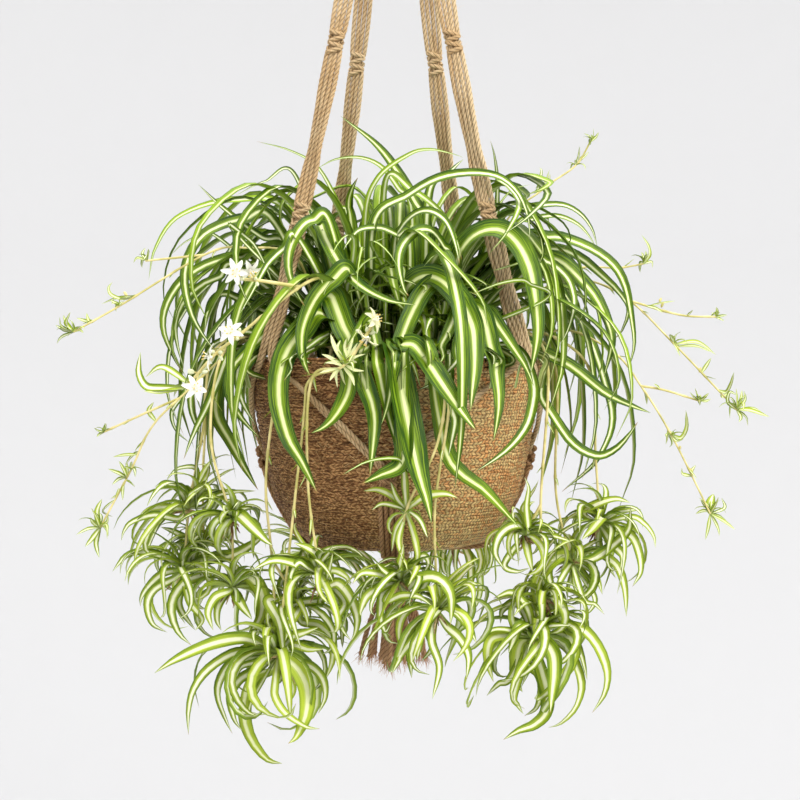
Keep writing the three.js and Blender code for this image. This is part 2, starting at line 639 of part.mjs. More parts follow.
// Plantlets: [across, down, depth, size, leaves, blade width]
const GROUPS = {
  trailing_left: {
    peg: [-80, -34],
    stems: [
      [[262, 334, -50], [214, 352, -66], [203, 430, -72], [189, 508, -62], [184, 569, -60]],
      [[258, 336, -48], [222, 356, -84], [211, 440, -92], [231, 520, -86], [232, 586, -76]],
      [[266, 336, -40], [216, 366, -44], [204, 450, -44], [203, 547, -38]],
    ],
    plantlets: [
      [188, 508, -62, 56, 7, 7],
      [232, 520, -86, 40, 6, 7],
      [203, 548, -38, 42, 6, 6],
      [184, 570, -60, 58, 7, 7],
      [232, 588, -76, 48, 7, 7],
    ],
    leaves: [
      [7, -62, -70, [186, 508], [150, 517], [120, 543]],
      [7, -62, -66, [188, 505], [160, 483], [140, 512]],
      [7, -60, -66, [182, 570], [140, 554], [112, 572]],
      [8, -60, -70, [182, 572], [155, 590], [167, 632]],
      [8, -76, -84, [236, 588], [262, 590], [248, 638]],
    ],
  },
  trailing_front: {
    peg: [-34, -80],
    stems: [
      [[375, 322, -120], [345, 365, -142], [310, 380, -128], [303, 430, -120], [278, 652, -92]],
      [[375, 322, -120], [345, 365, -142], [312, 380, -130], [308, 480, -116], [320, 575, -100]],
      [[330, 336, -126], [276, 392, -110], [266, 480, -96], [272, 560, -88], [277, 648, -92]],
    ],
    branches: [[[272, 560, -88], [300, 605, -78]]],
    plantlets: [
      [345, 365, -142, 24, 7, 4],
      [320, 575, -100, 56, 8, 8],
      [300, 605, -78, 42, 6, 7],
      [278, 655, -92, 74, 10, 10],
    ],
    leaves: [
      [12, -92, -110, [272, 652], [220, 643], [153, 673]],
      [9, -92, -100, [274, 655], [215, 680], [188, 735]],
      [11, -92, -110, [276, 657], [238, 690], [240, 730], [280, 765]],
      [12, -92, -104, [282, 655], [306, 690], [290, 743]],
      [10, -92, -104, [282, 655], [325, 680], [318, 715]],
      [9, -92, -92, [284, 650], [322, 640], [325, 680]],
      [8, -100, -106, [318, 572], [275, 555], [253, 580]],
      [8, -100, -106, [324, 572], [348, 560], [366, 596]],
    ],
  },
  trailing_centre: {
    peg: [42, -78],
    stems: [
      [[425, 334, -134], [440, 400, -143], [436, 450, -140], [406, 513, -128], [401, 578, -112]],
      [[430, 334, -134], [448, 400, -143], [436, 500, -130], [436, 560, -118], [438, 610, -112]],
    ],
    plantlets: [
      [405, 514, -128, 36, 7, 5],
      [400, 580, -112, 46, 8, 7],
      [437, 612, -112, 62, 9, 8],
    ],
    leaves: [
      [9, -112, -118, [434, 612], [405, 640], [433, 704]],
      [9, -112, -124, [440, 612], [478, 640], [449, 690]],
      [8, -112, -118, [440, 610], [480, 605], [497, 640]],
      [7, -112, -116, [396, 580], [362, 582], [350, 618]],
    ],
  },
  trailing_right: {
    peg: [88, -22],
    stems: [
      [[524, 334, -46], [548, 366, -66], [541, 505, -66], [544, 596, -62], [533, 638, -60]],
      [[526, 332, -40], [556, 370, -46], [556, 490, -40], [572, 562, -38]],
      [[530, 330, -24], [588, 366, -22], [596, 460, -20], [600, 525, -18]],
    ],
    branches: [[[541, 505, -66], [525, 535, -66]]],
    plantlets: [
      [525, 535, -66, 42, 6, 6],
      [600, 524, -18, 54, 8, 7],
      [572, 562, -38, 48, 6, 7],
      [545, 598, -62, 42, 6, 7],
      [532, 638, -60, 70, 10, 9],
    ],
    leaves: [
      [10, -60, -74, [534, 640], [562, 690], [548, 722], [502, 740]],
      [9, -60, -66, [528, 640], [497, 655], [487, 700]],
      [10, -60, -78, [530, 642], [517, 670], [527, 708]],
      [9, -60, -66, [538, 636], [590, 650], [593, 713]],
      [8, -18, -20, [604, 524], [636, 518], [655, 547]],
      [8, -18, -20, [604, 524], [636, 560], [628, 617]],
      [10, -38, -60, [574, 560], [590, 556], [578, 592]],
    ],
  },
  trailing_back: {
    peg: [10, 88],
    stems: [
      [[404, 336, 136], [425, 400, 150], [440, 470, 138], [452, 548, 118]],
      [[392, 336, 136], [350, 400, 150], [330, 480, 140], [322, 560, 124]],
    ],
    plantlets: [
      [452, 546, 118, 58, 9, 8],
      [322, 560, 124, 62, 9, 8],
    ],
    leaves: [],
  },
  runner_left_upper: {
    peg: [-60, -10],
    stems: [
      [[300, 262, -56], [245, 248, -70], [205, 255, -80], [120, 306, -92], [74, 332, -96]],
    ],
    branches: [[[205, 255, -80], [146, 261, -84]]],
    plantlets: [
      [74, 332, -96, 17, 7, 3],
      [120, 306, -92, 12, 4, 2.6],
      [146, 259, -84, 11, 4, 2.6],
    ],
    leaves: [],
  },
  runner_left_flowering: {
    peg: [-52, -58],
    stems: [
      [[330, 277, -112], [300, 287, -124], [240, 335, -140], [215, 355, -142], [186, 388, -142]],
    ],
    branches: [[[300, 287, -124], [262, 281, -132], [240, 279, -136]]],
    plantlets: [[186, 388, -142, 32, 8, 4]],
    leaves: [[4, -142, -140, [184, 386], [160, 376], [141, 352]]],
  },
  runner_left_lower: {
    peg: [-88, 4],
    stems: [
      [[262, 328, -30], [180, 398, -98], [150, 430, -104], [131, 470, -105], [100, 528, -106]],
    ],
    branches: [[[180, 398, -98], [148, 412, -104], [104, 432, -108]]],
    plantlets: [
      [99, 526, -106, 24, 8, 3.4],
      [131, 470, -105, 14, 4, 3],
      [104, 432, -108, 12, 4, 2.6],
    ],
    leaves: [],
  },
  runner_right_upper: {
    peg: [66, 6],
    stems: [
      [[520, 270, 16], [590, 281, 10], [630, 301, 6], [674, 344, 3], [737, 410, -6]],
    ],
    branches: [[[630, 301, 6], [680, 315, 4], [716, 317, 2]]],
    plantlets: [
      [738, 409, -6, 24, 8, 3.4],
      [716, 316, 2, 11, 4, 2.6],
      [674, 344, 3, 22, 3, 3],
    ],
    leaves: [],
  },
  runner_right_lower: {
    peg: [92, 22],
    stems: [
      [[560, 330, 6], [613, 352, -8], [641, 386, -12], [672, 436, -16], [711, 514, -22]],
    ],
    branches: [[[641, 386, -12], [664, 390, -14], [700, 401, -18]]],
    plantlets: [
      [712, 512, -22, 22, 7, 3.4],
      [672, 436, -16, 15, 4, 3],
      [700, 400, -18, 11, 4, 2.6],
    ],
    leaves: [],
  },
  runner_top_right: {
    peg: [52, 40],
    stems: [[[500, 232, 60], [542, 190, 64], [575, 166, 66], [591, 140, 68]]],
    plantlets: [
      [591, 140, 68, 10, 5, 2.6],
      [575, 166, 66, 14, 3, 2.6],
      [542, 190, 64, 14, 3, 2.6],
    ],
    leaves: [],
  },
  runner_right_small: {
    peg: [72, 52],
    stems: [[[560, 276, 50], [620, 268, 46], [643, 264, 44]]],
    plantlets: [[643, 262, 44, 16, 5, 3]],
    leaves: [],
  },
};

const OWN_LEAF = 9; // a leaf that starts this near to a plantlet's heart is one of its own
const SMALL_PLANTLET = 35; // below this size a plantlet has short blades with few steps
const LARGE_HEART = 4.6;
const SMALL_HEART = 2.2;
const HEART_TURN = 0.4; // radians, so that no facet faces straight along the frame

function isTrailing(group) {
  return group.plantlets.some((plantlet) => plantlet[3] > SMALL_PLANTLET);
}

// The stems of a group: from a peg in the soil, with branches that start on them.
function groupStems(group, gap) {
  const [x, y] = group.peg;
  const foot = new THREE.Vector3(x, y, CROWN_TOP_Z - 2);
  const pegTop = new THREE.Vector3(x * 1.04, y * 1.04, CROWN_TOP_Z + 14);
  const radius = (isTrailing(group) ? STEM_RADIUS : TWIG_RADIUS) + gap;
  const sides = isTrailing(group) ? 4 : 3;
  const stems = group.stems.map((path) => [foot, pegTop, ...path.map((place) => seen(...place))]);
  const branches = (group.branches ?? []).map((path) => path.map((place) => seen(...place)));
  return [...stems, ...branches].map((points) => cord(points, radius, sides));
}

// The heart of a plantlet is a small polyhedron, and its blades grow from its facets.
function heartFacets([across, down, depth, size]) {
  const large = size > SMALL_PLANTLET;
  const Shape = large ? THREE.IcosahedronGeometry : THREE.OctahedronGeometry;
  const shape = new Shape(large ? LARGE_HEART : SMALL_HEART);
  shape.rotateZ(HEART_TURN);
  const middle = seen(across, down, depth);
  const corners = shape.attributes.position;
  const facets = [];
  for (let i = 0; i < corners.count; i += 3) {
    const ring = [0, 1, 2].map((k) => new THREE.Vector3().fromBufferAttribute(corners, i + k).add(middle));
    const centre = ring[0].clone().add(ring[1]).add(ring[2]).divideScalar(3);
    facets.push({ ring, out: centre.sub(middle).normalize() });
  }
  return facets;
}

// A blade that grows from a facet: the facet is its first ring, turned so that the blade isn't twisted.
function grownRings(leaf, facet) {
  const rings = bladeRings(leaf);
  const next = rings[1];
  const twist = (turn) => next.reduce((sum, p, k) => sum + p.distanceTo(facet.ring[(k + turn) % 3]), 0);
  const turn = [0, 1, 2].reduce((best, k) => (twist(k) < twist(best) ? k : best));
  rings[0] = [0, 1, 2].map((k) => facet.ring[(k + turn) % 3]);
  return rings;
}

// Triangles of rings without the first ring's own face
function sideTriangles(rings) {
  const triangles = [];
  for (let i = 1; i < rings.length; i += 1) {
    const [near, far] = [rings[i - 1], rings[i]];
    for (let k = 0; k < 3; k += 1) {
      const next = (k + 1) % 3;
      if (far.length === 1) triangles.push([near[k], near[next], far[0]]);
      else triangles.push([near[k], near[next], far[next]], [near[k], far[next], far[k]]);
    }
  }
  return triangles;
}

function solidOfTriangles(triangles) {
  const geometry = new THREE.BufferGeometry();
  const flat = triangles.flat().flatMap((p) => [p.x, p.y, p.z]);
  geometry.setAttribute("position", new THREE.Float32BufferAttribute(flat, 3));
  return solidOf(geometry);
}

// Every leaf of a group, as a function of how far it is bent aside, in degrees or millimetres.
const BENDS = [0, 5, -5, 10, -10, 15, -15, 20, -20];

// The leaves of a plantlet: those that the view shows, and the rest by the rule.
function plantletLeaves(plantlet, shown, random) {
  const [across, down, depth, size, count, width] = plantlet;
  const heart = seen(across, down, depth);
  const steps = size > SMALL_PLANTLET ? 3 : 2;
  const leaves = shown.map(([wide, near, far, ...places]) => (bend) => {
    const last = places.length - 1;
    const points = places.map((place, i) => seen(...place, mix(near, far, i / last) + (bend * i) / last));
    return { points, width: wide, steps: 4, facing: 0.7 };
  });
  for (let i = 0; i < count; i += 1) {
    const draws = [random(), random(), random()];
    leaves.push((bend) => {
      return { points: plantletLeaf(heart, size, i, count, draws, bend), width, steps, facing: 0 };
    });
  }
  return leaves;
}

// Flowers: a star of six petals round a small eye, on a short stalk that ends beside its runner's stem.
const FLOWER_RADIUS = 11.5;
const PETALS = 6;
const FLOWERS = {
  flower_upper_outer: { at: [234, 268, -152], by: [240, 279, -136], tilt: 8 },
  flower_upper_inner: { at: [250, 267, -142], by: [256, 280, -133], tilt: -10 },
  flower_middle: { at: [230, 328, -154], by: [238, 337, -140], tilt: 20 },
  flower_lower: { at: [210, 352, -156], by: [217, 353, -142], tilt: 35 },
  flower_tip: { at: [194, 386, -158], by: [199, 373, -142], tilt: 12 },
  flower_front_upper: { at: [374, 320, -134], by: [372, 326, -122], tilt: 30 },
  flower_front_lower: { at: [368, 338, -144], by: [366, 335, -127], tilt: 5 },
};

// The outline of one petal, [share of the radius, degrees from its middle line, lift towards the front]
const PETAL_OUTLINE = [
  [0.2, -30, 0],
  [0.62, -11, 1.6],
  [1, 0, 0.4],
  [0.62, 11, 1.6],
];
const PETAL_THICK = 1.1;
const STALK_RADIUS = 0.8;
const STALK_STEP = 0.1;

// The stalk stops as near to the stem's middle line as it can without touching the stem.
function stalkSolid(middle, by, stems) {
  const way = middle.clone().sub(by).normalize();
  const foot = by.clone();
  let stalk = cord([middle, foot], STALK_RADIUS, 3);
  while (overlap(stalk, stems) > TOUCH) {
    foot.addScaledVector(way, STALK_STEP);
    stalk = cord([middle, foot], STALK_RADIUS, 3);
  }
  return stalk;
}

function flowerSolid({ at, by, tilt }, stems) {
  const middle = seen(...at);
  const star = Array.from({ length: PETALS }, (_, k) =>
    PETAL_OUTLINE.map(([share, aside, lift]) => {
      const angle = radians(tilt + aside - (360 / PETALS) * k);
      const radius = share * FLOWER_RADIUS;
      const point = new THREE.Vector3(radius * Math.cos(angle), -lift, radius * Math.sin(angle));
      return point.add(middle);
    }).reverse(),
  ).flat();
  const front = middle.clone().addScaledVector(FORWARD, 0.6 + PETAL_THICK);
  const back = middle.clone().addScaledVector(FORWARD, -PETAL_THICK);
  return join([skin([[front], star, [back]]), stalkSolid(middle, seen(...by), stems)]);
}

// Colours
const MATERIALS = {
  metal: { color: 0xb9b6ae, roughness: 0.35, metalness: 1 },
  cord: { color: 0xc49a6c, roughness: 0.95, metalness: 0 },
  basket: { color: 0xa87c4e, roughness: 0.95, metalness: 0 },
  liner: { color: 0x2b2a28, roughness: 0.6, metalness: 0 },
  soil: { color: 0x3a2a1e, roughness: 1, metalness: 0 },
  leaf: { color: 0x5f8f2e, roughness: 0.45, metalness: 0 },
  plantlet: { color: 0x8fb845, roughness: 0.5, metalness: 0 },
  flower: { color: 0xf6f5ea, roughness: 0.6, metalness: 0 },
};

const plant = new THREE.Group();
const placed = new Map();

function add(name, made, materialName) {
  const mesh = made.getMesh();
  const geometry = new THREE.BufferGeometry();
  geometry.setAttribute("position", new THREE.BufferAttribute(mesh.vertProperties, 3));
  geometry.setIndex(new THREE.BufferAttribute(mesh.triVerts, 1));
  const node = new THREE.Mesh(geometry, new THREE.MeshStandardMaterial(MATERIALS[materialName]));
  node.name = name;
  plant.add(node);
  placed.set(name, made);
}

// True if a solid crosses none of the pieces placed so far.
function clear(made) {
  return [...placed.values()].every((other) => overlap(made, other) < TOUCH);
}

add("hanging_ring", ringSolid(), "metal");
add("top_wrap", topWrapSolid(), "cord");
add("arm_front_left", armSolid(-FRONT_ARM, "left", "front"), "cord");
add("arm_front_right", armSolid(FRONT_ARM, "front", "right"), "cord");
add("arm_back_left", armSolid(-BACK_ARM, "back", "left"), "cord");
add("arm_back_right", armSolid(BACK_ARM, "right", "back"), "cord");
for (const name of Object.keys(NET_KNOTS)) add(`net_${name}`, netSolid(name), "cord");
add("base_wrap", baseWrapSolid(0), "cord");
add("tassel", tasselSolid(), "cord");
add("basket", basketSolid(), "basket");
add("liner_pot", linerSolid(), "liner");
add("soil", soilSolid(Object.values(GROUPS).map((group) => group.peg)), "soil");

// A leaf is bent aside until it crosses no other piece, and as few of its own node's leaves as it can.
const SPARE = 0.35; // room round a leaf while it is tested

function crossings(made, others) {
  const box = made.boundingBox();
  let count = 0;
  for (const other of others) {
    const near = other.boundingBox();
    const apart = [0, 1, 2].some((k) => near.min[k] > box.max[k] || near.max[k] < box.min[k]);
    if (!apart && overlap(made, other) > TOUCH) count += 1;
  }
  return count;
}

// The bend with the fewest crossings, of those that keep the leaf clear of other pieces, or null.
function bestBend(make, build, count) {
  let best = null;
  for (const bend of BENDS) {
    const leaf = make(bend);
    if (!clear(blade({ ...leaf, spare: SPARE }))) continue;
    const built = build(leaf);
    const crossed = count(built.made);
    if (!best || crossed < best.crossed) best = { ...built, leaf, crossed };
    if (crossed === 0) break;
  }
  return best;
}

// The stems of each group with the peg that stands in the soil
const groupFrames = Object.values(GROUPS).map((group) => {
  const [x, y] = group.peg;
  return join([plug(x, y, PEG_RADIUS, PEG_DEPTH, PEG_SIDES), ...groupStems(group, 0)]);
});

// The stems of every group with room to spare round them
const stemRoom = join(Object.values(GROUPS).flatMap((group) => groupStems(group, SPARE)));

// The tuft: its crown in the soil and every leaf that has a clear place, with the stems' room cut out of it.
function tuftSolid() {
  const random = seeded(TUFT_SEED);
  const makers = TUFT_LEAVES.map((entry) => (bend) => tuftLeaf(entry, bend));
  for (let i = 0; i < RULE_LEAVES; i += 1) {
    const draws = Array.from({ length: RULE_DRAWS }, () => random());
    makers.push((bend) => ruleLeaf(i, draws, bend));
  }
  const tuft = [];
  for (const make of makers) {
    const others = [...tuft, ...groupFrames];
    const best = bestBend(make, (leaf) => ({ made: blade(leaf) }), (made) => crossings(made, others));
    if (best) tuft.push(best.made);
  }
  const crown = plug(0, 0, CROWN_RADIUS, CROWN_DEPTH, CROWN_SIDES);
  return largest(join([crown, ...tuft]).subtract(stemRoom));
}

// A plantlet is its heart, with the blades that cross nothing grown from its facets and the others joined on.
function plantletSolids(plantlet, shown, random, others) {
  const facets = heartFacets(plantlet);
  const grown = [];
  const joined = [];
  for (const make of plantletLeaves(plantlet, shown, random)) {
    const first = make(0).points;
    const way = first[1].clone().sub(first[0]).normalize();
    const free = facets.filter((facet) => !facet.used);
    if (!free.length) break;
    const facet = free.reduce((best, other) => (other.out.dot(way) > best.out.dot(way) ? other : best));
    const build = (leaf) => {
      const rings = grownRings(leaf, facet);
      return { rings, made: skin(rings) };
    };
    const best = bestBend(make, build, (made) => crossings(made, others));
    if (!best) continue;
    if (best.crossed === 0) {
      facet.used = true;
      grown.push(...sideTriangles(best.rings));
      others.push(best.made);
    } else {
      joined.push(blade(best.leaf));
    }
  }
  const bare = facets.filter((facet) => !facet.used).map((facet) => facet.ring);
  others.push(...joined);
  return [solidOfTriangles([...grown, ...bare]), ...joined];
}

// A group's stems with its plantlets, whose leaves keep clear of the stems of the groups after it.
function groupSolid(group, frame, later) {
  const random = seeded(Math.round(Math.abs(group.peg[0] * 31 + group.peg[1])) + 7);
  const others = [...later];
  const pieces = group.plantlets.flatMap((plantlet) => {
    const heart = seen(...plantlet);
    const own = ([, near, , start]) => seen(...start, near).distanceTo(heart) < OWN_LEAF;
    return plantletSolids(plantlet, group.leaves.filter(own), random, others);
  });
  return largest(join([frame, ...pieces]));
}

add("leaf_tuft", tuftSolid(), "leaf");
Object.entries(GROUPS).forEach(([name, group], i) => {
  add(name, groupSolid(group, groupFrames[i], groupFrames.slice(i + 1)), "plantlet");
});
for (const [name, flower] of Object.entries(FLOWERS)) add(name, flowerSolid(flower, stemRoom), "flower");

export default plant;
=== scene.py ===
# %% [markdown]
# # A spider plant in a hanging basket
# The plant grows in a woven basket that a knotted jute hanger holds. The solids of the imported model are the
# frame of this scene: they give every piece its place and its size. Each one is replaced here by a finer
# piece of the same form, made as arrays of points with numpy. Lengths are in millimetres until a piece
# becomes a mesh, because leaves and cords are easier to think of that way; Blender's own unit is the metre.

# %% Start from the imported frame
import math

import bpy
import numpy as np
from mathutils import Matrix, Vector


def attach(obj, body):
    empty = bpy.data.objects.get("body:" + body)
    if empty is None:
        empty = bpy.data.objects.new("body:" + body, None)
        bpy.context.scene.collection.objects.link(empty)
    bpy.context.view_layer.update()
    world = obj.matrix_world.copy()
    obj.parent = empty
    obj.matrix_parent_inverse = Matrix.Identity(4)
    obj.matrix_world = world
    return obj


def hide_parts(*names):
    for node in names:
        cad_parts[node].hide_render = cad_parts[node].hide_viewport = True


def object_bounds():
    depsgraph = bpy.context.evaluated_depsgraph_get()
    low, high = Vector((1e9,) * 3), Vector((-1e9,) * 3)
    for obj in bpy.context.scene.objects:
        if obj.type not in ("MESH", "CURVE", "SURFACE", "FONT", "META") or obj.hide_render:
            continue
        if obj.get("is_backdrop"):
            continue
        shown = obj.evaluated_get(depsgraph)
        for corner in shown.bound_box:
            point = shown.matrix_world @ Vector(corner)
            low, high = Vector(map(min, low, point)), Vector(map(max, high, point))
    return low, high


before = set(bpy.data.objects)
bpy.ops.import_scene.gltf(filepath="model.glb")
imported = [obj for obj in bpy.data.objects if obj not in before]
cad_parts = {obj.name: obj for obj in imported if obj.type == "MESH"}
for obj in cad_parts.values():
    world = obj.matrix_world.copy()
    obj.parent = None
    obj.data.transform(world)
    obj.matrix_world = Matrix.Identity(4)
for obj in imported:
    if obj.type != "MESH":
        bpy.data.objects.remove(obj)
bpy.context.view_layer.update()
MM = 0.001


def linked(name, data):
    """A new object with this data, in the scene."""
    made = bpy.data.objects.new(name, data)
    bpy.context.scene.collection.objects.link(made)
    return made


# %% [markdown]
# ## The view
# The camera stands level with the basket's rim, 1.45 m in front of the hanging axis, as in the photograph.
# A place in the 800 by 800 picture and a depth behind the axis then give one point in space, and that is how
# the leaves and runners that the picture shows are placed. The same few numbers set up the camera, so that
# what is placed by the picture is seen in its place.

# %% A place in the picture as a point in space
VIEW_DISTANCE = 1450.0
VIEW_SCALE = 0.86  # millimetres to one pixel, at the hanging axis
VIEW_AXIS = 396.0
VIEW_HORIZON = 370.0
VIEW_MIDDLE = 400.0
EYE_Z = -572.5
SENSOR = 36.0


def seen(across, down, depth):
    """The pixel's distances from the axis and from the horizon, times a scale that grows with the depth."""
    scale = VIEW_SCALE * (VIEW_DISTANCE + depth) / VIEW_DISTANCE
    return np.array([(across - VIEW_AXIS) * scale, depth, EYE_Z - (down - VIEW_HORIZON) * scale])


def stand_camera():
    lens = SENSOR * VIEW_DISTANCE / (2 * VIEW_MIDDLE * VIEW_SCALE)
    data = bpy.data.cameras.new("view")
    data.sensor_width = SENSOR
    data.lens = lens
    eye = linked("view", data)
    side = (VIEW_MIDDLE - VIEW_AXIS) * VIEW_SCALE
    eye.location = (side * MM, -VIEW_DISTANCE * MM, EYE_Z * MM)
    tilt = math.atan((VIEW_MIDDLE - VIEW_HORIZON) * VIEW_SCALE / VIEW_DISTANCE)
    eye.rotation_euler = (math.pi / 2 - tilt, 0, 0)
    bpy.context.scene.camera = eye
    return lens, tilt


lens, tilt = stand_camera()
print(f"lens {lens:.1f} mm, looking down {math.degrees(tilt):.2f} degrees")

# %% [markdown]
# ## Curves and rings
# Nearly everything here is long and thin: leaves, stems, cords, fibres. All of them are a ring of points
# carried along a smooth line. Blender's own curve objects could do it, but arrays give each ring its own
# width, fold and twist, and let every point carry values that the materials read.

# %% A smooth line through points, evenly spaced
UP = np.array([0.0, 0.0, 1.0])
RIGHT = np.array([1.0, 0.0, 0.0])
FORWARD = np.array([0.0, -1.0, 0.0])
CURVE_FINE = 24  # points on each stretch before they are spaced evenly
TINY = 1e-9


def unit(vectors):
    """Vectors divided by their lengths."""
    return vectors / np.maximum(np.linalg.norm(vectors, axis=-1, keepdims=True), TINY)


def length_along(points):
    """The distance of each point from the first, along the line."""
    steps = np.linalg.norm(np.diff(points, axis=0), axis=1)
    return np.concatenate([[0.0], np.cumsum(steps)])


def turned_along(points):
    """The angle that a line has turned through at each of its points, in radians."""
    along = unit(np.diff(points, axis=0))
    turns = np.arccos(np.clip(np.sum(along[1:] * along[:-1], 1), -1, 1))
    return np.concatenate([[0.0], np.cumsum(turns), [turns.sum()]])


def curve(points, count, bends=0.0):
    """On each stretch from b to c, with a before and d after, half of
    2b + (c - a) t + (2a - 5b + 4c - d) t^2 + (3b - a - 3c + d) t^3, then count points, spaced evenly in the
    length plus bends times the angle turned."""
    points = np.asarray(points, float)
    ends = np.vstack([2 * points[0] - points[1], points, 2 * points[-1] - points[-2]])
    a, b, c, d = ends[:-3, None], ends[1:-2, None], ends[2:-1, None], ends[3:, None]
    t = np.linspace(0, 1, CURVE_FINE, endpoint=False)[None, :, None]
    cubic = 2 * b + (c - a) * t + (2 * a - 5 * b + 4 * c - d) * t**2 + (3 * b - a - 3 * c + d) * t**3
    fine = np.vstack([cubic.reshape(-1, 3) / 2, points[-1:]])
    place = length_along(fine) + (bends * turned_along(fine) if bends else 0)
    even = np.linspace(0, place[-1], count)
    return np.stack([np.interp(even, place, fine[:, axis]) for axis in range(3)], 1)


def carried_side(along):
    """A side at right angles to a line that turns as little as it can: at each step it is the one before,
    less its part along the line."""
    side = np.cross(along[0], np.eye(3)[np.argmin(np.abs(along[0]))])
    sides = []
    for way in along:
        side = side - way * side.dot(way)
        side = side / math.sqrt(side.dot(side))
        sides.append(side)
    return np.array(sides)


def tube(spine, radius, sides, turn=0.0):
    """Points at angle 2 pi k / sides + turn round each point of the line, at radius from it."""
    count = len(spine)
    along = unit(np.gradient(spine, axis=0))
    side = carried_side(along)[:, None]
    other = np.cross(along, side[:, 0])[:, None]
    angle = 2 * math.pi * np.arange(sides) / sides + np.broadcast_to(turn, count)[:, None]
    rows = np.reshape(radius, (-1, 1)) if np.ndim(radius) == 1 else radius
    reach = np.broadcast_to(rows, (count, sides))[..., None]
    return spine[:, None] + reach * (np.cos(angle)[..., None] * side + np.sin(angle)[..., None] * other)


BENT = [(0, 0, 0), (60, 0, 80), (140, 0, 40)]
print("a bent line through three points is", round(length_along(curve(BENT, 40))[-1]), "mm long")

# %% [markdown]
# A piece is gathered from many such ring stacks. Each stack is closed at both ends, so the piece is a set of
# closed skins with their faces outwards. Next to its position a point may carry plain numbers, for instance
# how far across a leaf it lies, and the material of the leaf draws its stripe from them. No picture is
# needed, and the pattern follows each leaf however it bends.

# %% A piece gathered from stacks of rings
SHARP = math.radians(58)
pieces = {}


class Skin:
    """Stacks of rings for one piece, with the values that their points carry."""

    def __init__(self):
        self.stacks = []
        self.corners = []
        self.sizes = []
        self.start = 0

    def loft(self, rings, hoop=False, **values):
        """Joins ring i to ring i + 1 by the quads (k, k + 1), and closes both ends, or joins the last ring
        to the first on a hoop. Rings turn counterclockwise about the way that they go. A value that the
        points carry is a number or an array with one row for each ring."""
        count, sides = rings.shape[:2]
        ring = np.arange(count * sides).reshape(count, sides) + self.start
        if hoop:
            ring = np.vstack([ring, ring[:1]])
        after = np.roll(ring, -1, axis=1)
        quads = np.stack([ring[:-1], after[:-1], after[1:], ring[1:]], -1).reshape(-1, 4)
        self.corners.append(quads.ravel())
        self.sizes += [4] * len(quads)
        if not hoop:
            self.corners += [ring[0, ::-1], ring[-1]]
            self.sizes += [sides, sides]
        spread = {key: np.broadcast_to(value, (count, sides)).ravel() for key, value in values.items()}
        self.stacks.append((rings.reshape(-1, 3), spread))
        self.start += count * sides

    def piece(self, name, slot, finish, nodes):
        """Makes the gathered stacks one object that stands for nodes of the frame and rides with them."""
        mesh = bpy.data.meshes.new(name)
        points = np.concatenate([stack for stack, _ in self.stacks]) * MM
        corners = np.concatenate(self.corners)
        starts = np.concatenate([[0], np.cumsum(self.sizes)[:-1]])
        mesh.vertices.add(len(points))
        mesh.vertices.foreach_set("co", points.ravel())
        mesh.loops.add(len(corners))
        mesh.loops.foreach_set("vertex_index", corners)
        mesh.polygons.add(len(starts))
        mesh.polygons.foreach_set("loop_start", starts)
        mesh.update(calc_edges=True)
        for key in sorted({key for _, values in self.stacks for key in values}):
            column = [values.get(key, np.zeros(len(stack))) for stack, values in self.stacks]
            mesh.attributes.new(key, "FLOAT", "POINT").data.foreach_set("value", np.concatenate(column))
        mesh.shade_smooth()
        mesh.set_sharp_from_angle(angle=SHARP)
        mesh.materials.append(finish)
        made = linked(name, mesh)
        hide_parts(*nodes)
        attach(made, "root")
        pieces[name] = int(np.sum(np.array(self.sizes) - 2))
        print(f"{name}: {pieces[name]} triangles")
        return made


print("edges of more than", round(math.degrees(SHARP)), "degrees stay sharp")

# %% [markdown]
# ## Materials as expressions
# A material is a tree of nodes, and a tree is hard to read as code. So a small class wraps the output of a
# node: the usual signs add Math nodes, and an expression such as 1 - mask reads as what it does. Colours go
# through a Mix node instead, because a Math node would turn them grey. Values that are the same all over go
# straight onto the shader.

# %% Shader values with operators
class Value:
    """A number that varies over a surface: the output socket of a node in a finish."""

    def __init__(self, finish, socket):
        self.finish = finish
        self.socket = socket

    def math(self, operation, *others):
        inputs = dict(enumerate((self, *others)))
        return self.finish.node("ShaderNodeMath", {"operation": operation}, inputs)

    def __add__(self, other):
        return self.math("ADD", other)

    def __mul__(self, other):
        return self.math("MULTIPLY", other)

    def __sub__(self, other):
        return self.math("SUBTRACT", other)

    def __rsub__(self, other):
        return self.finish.node("ShaderNodeMath", {"operation": "SUBTRACT"}, {0: other, 1: self})

    def __abs__(self):
        return self.math("ABSOLUTE")

    __radd__ = __add__
    __rmul__ = __mul__


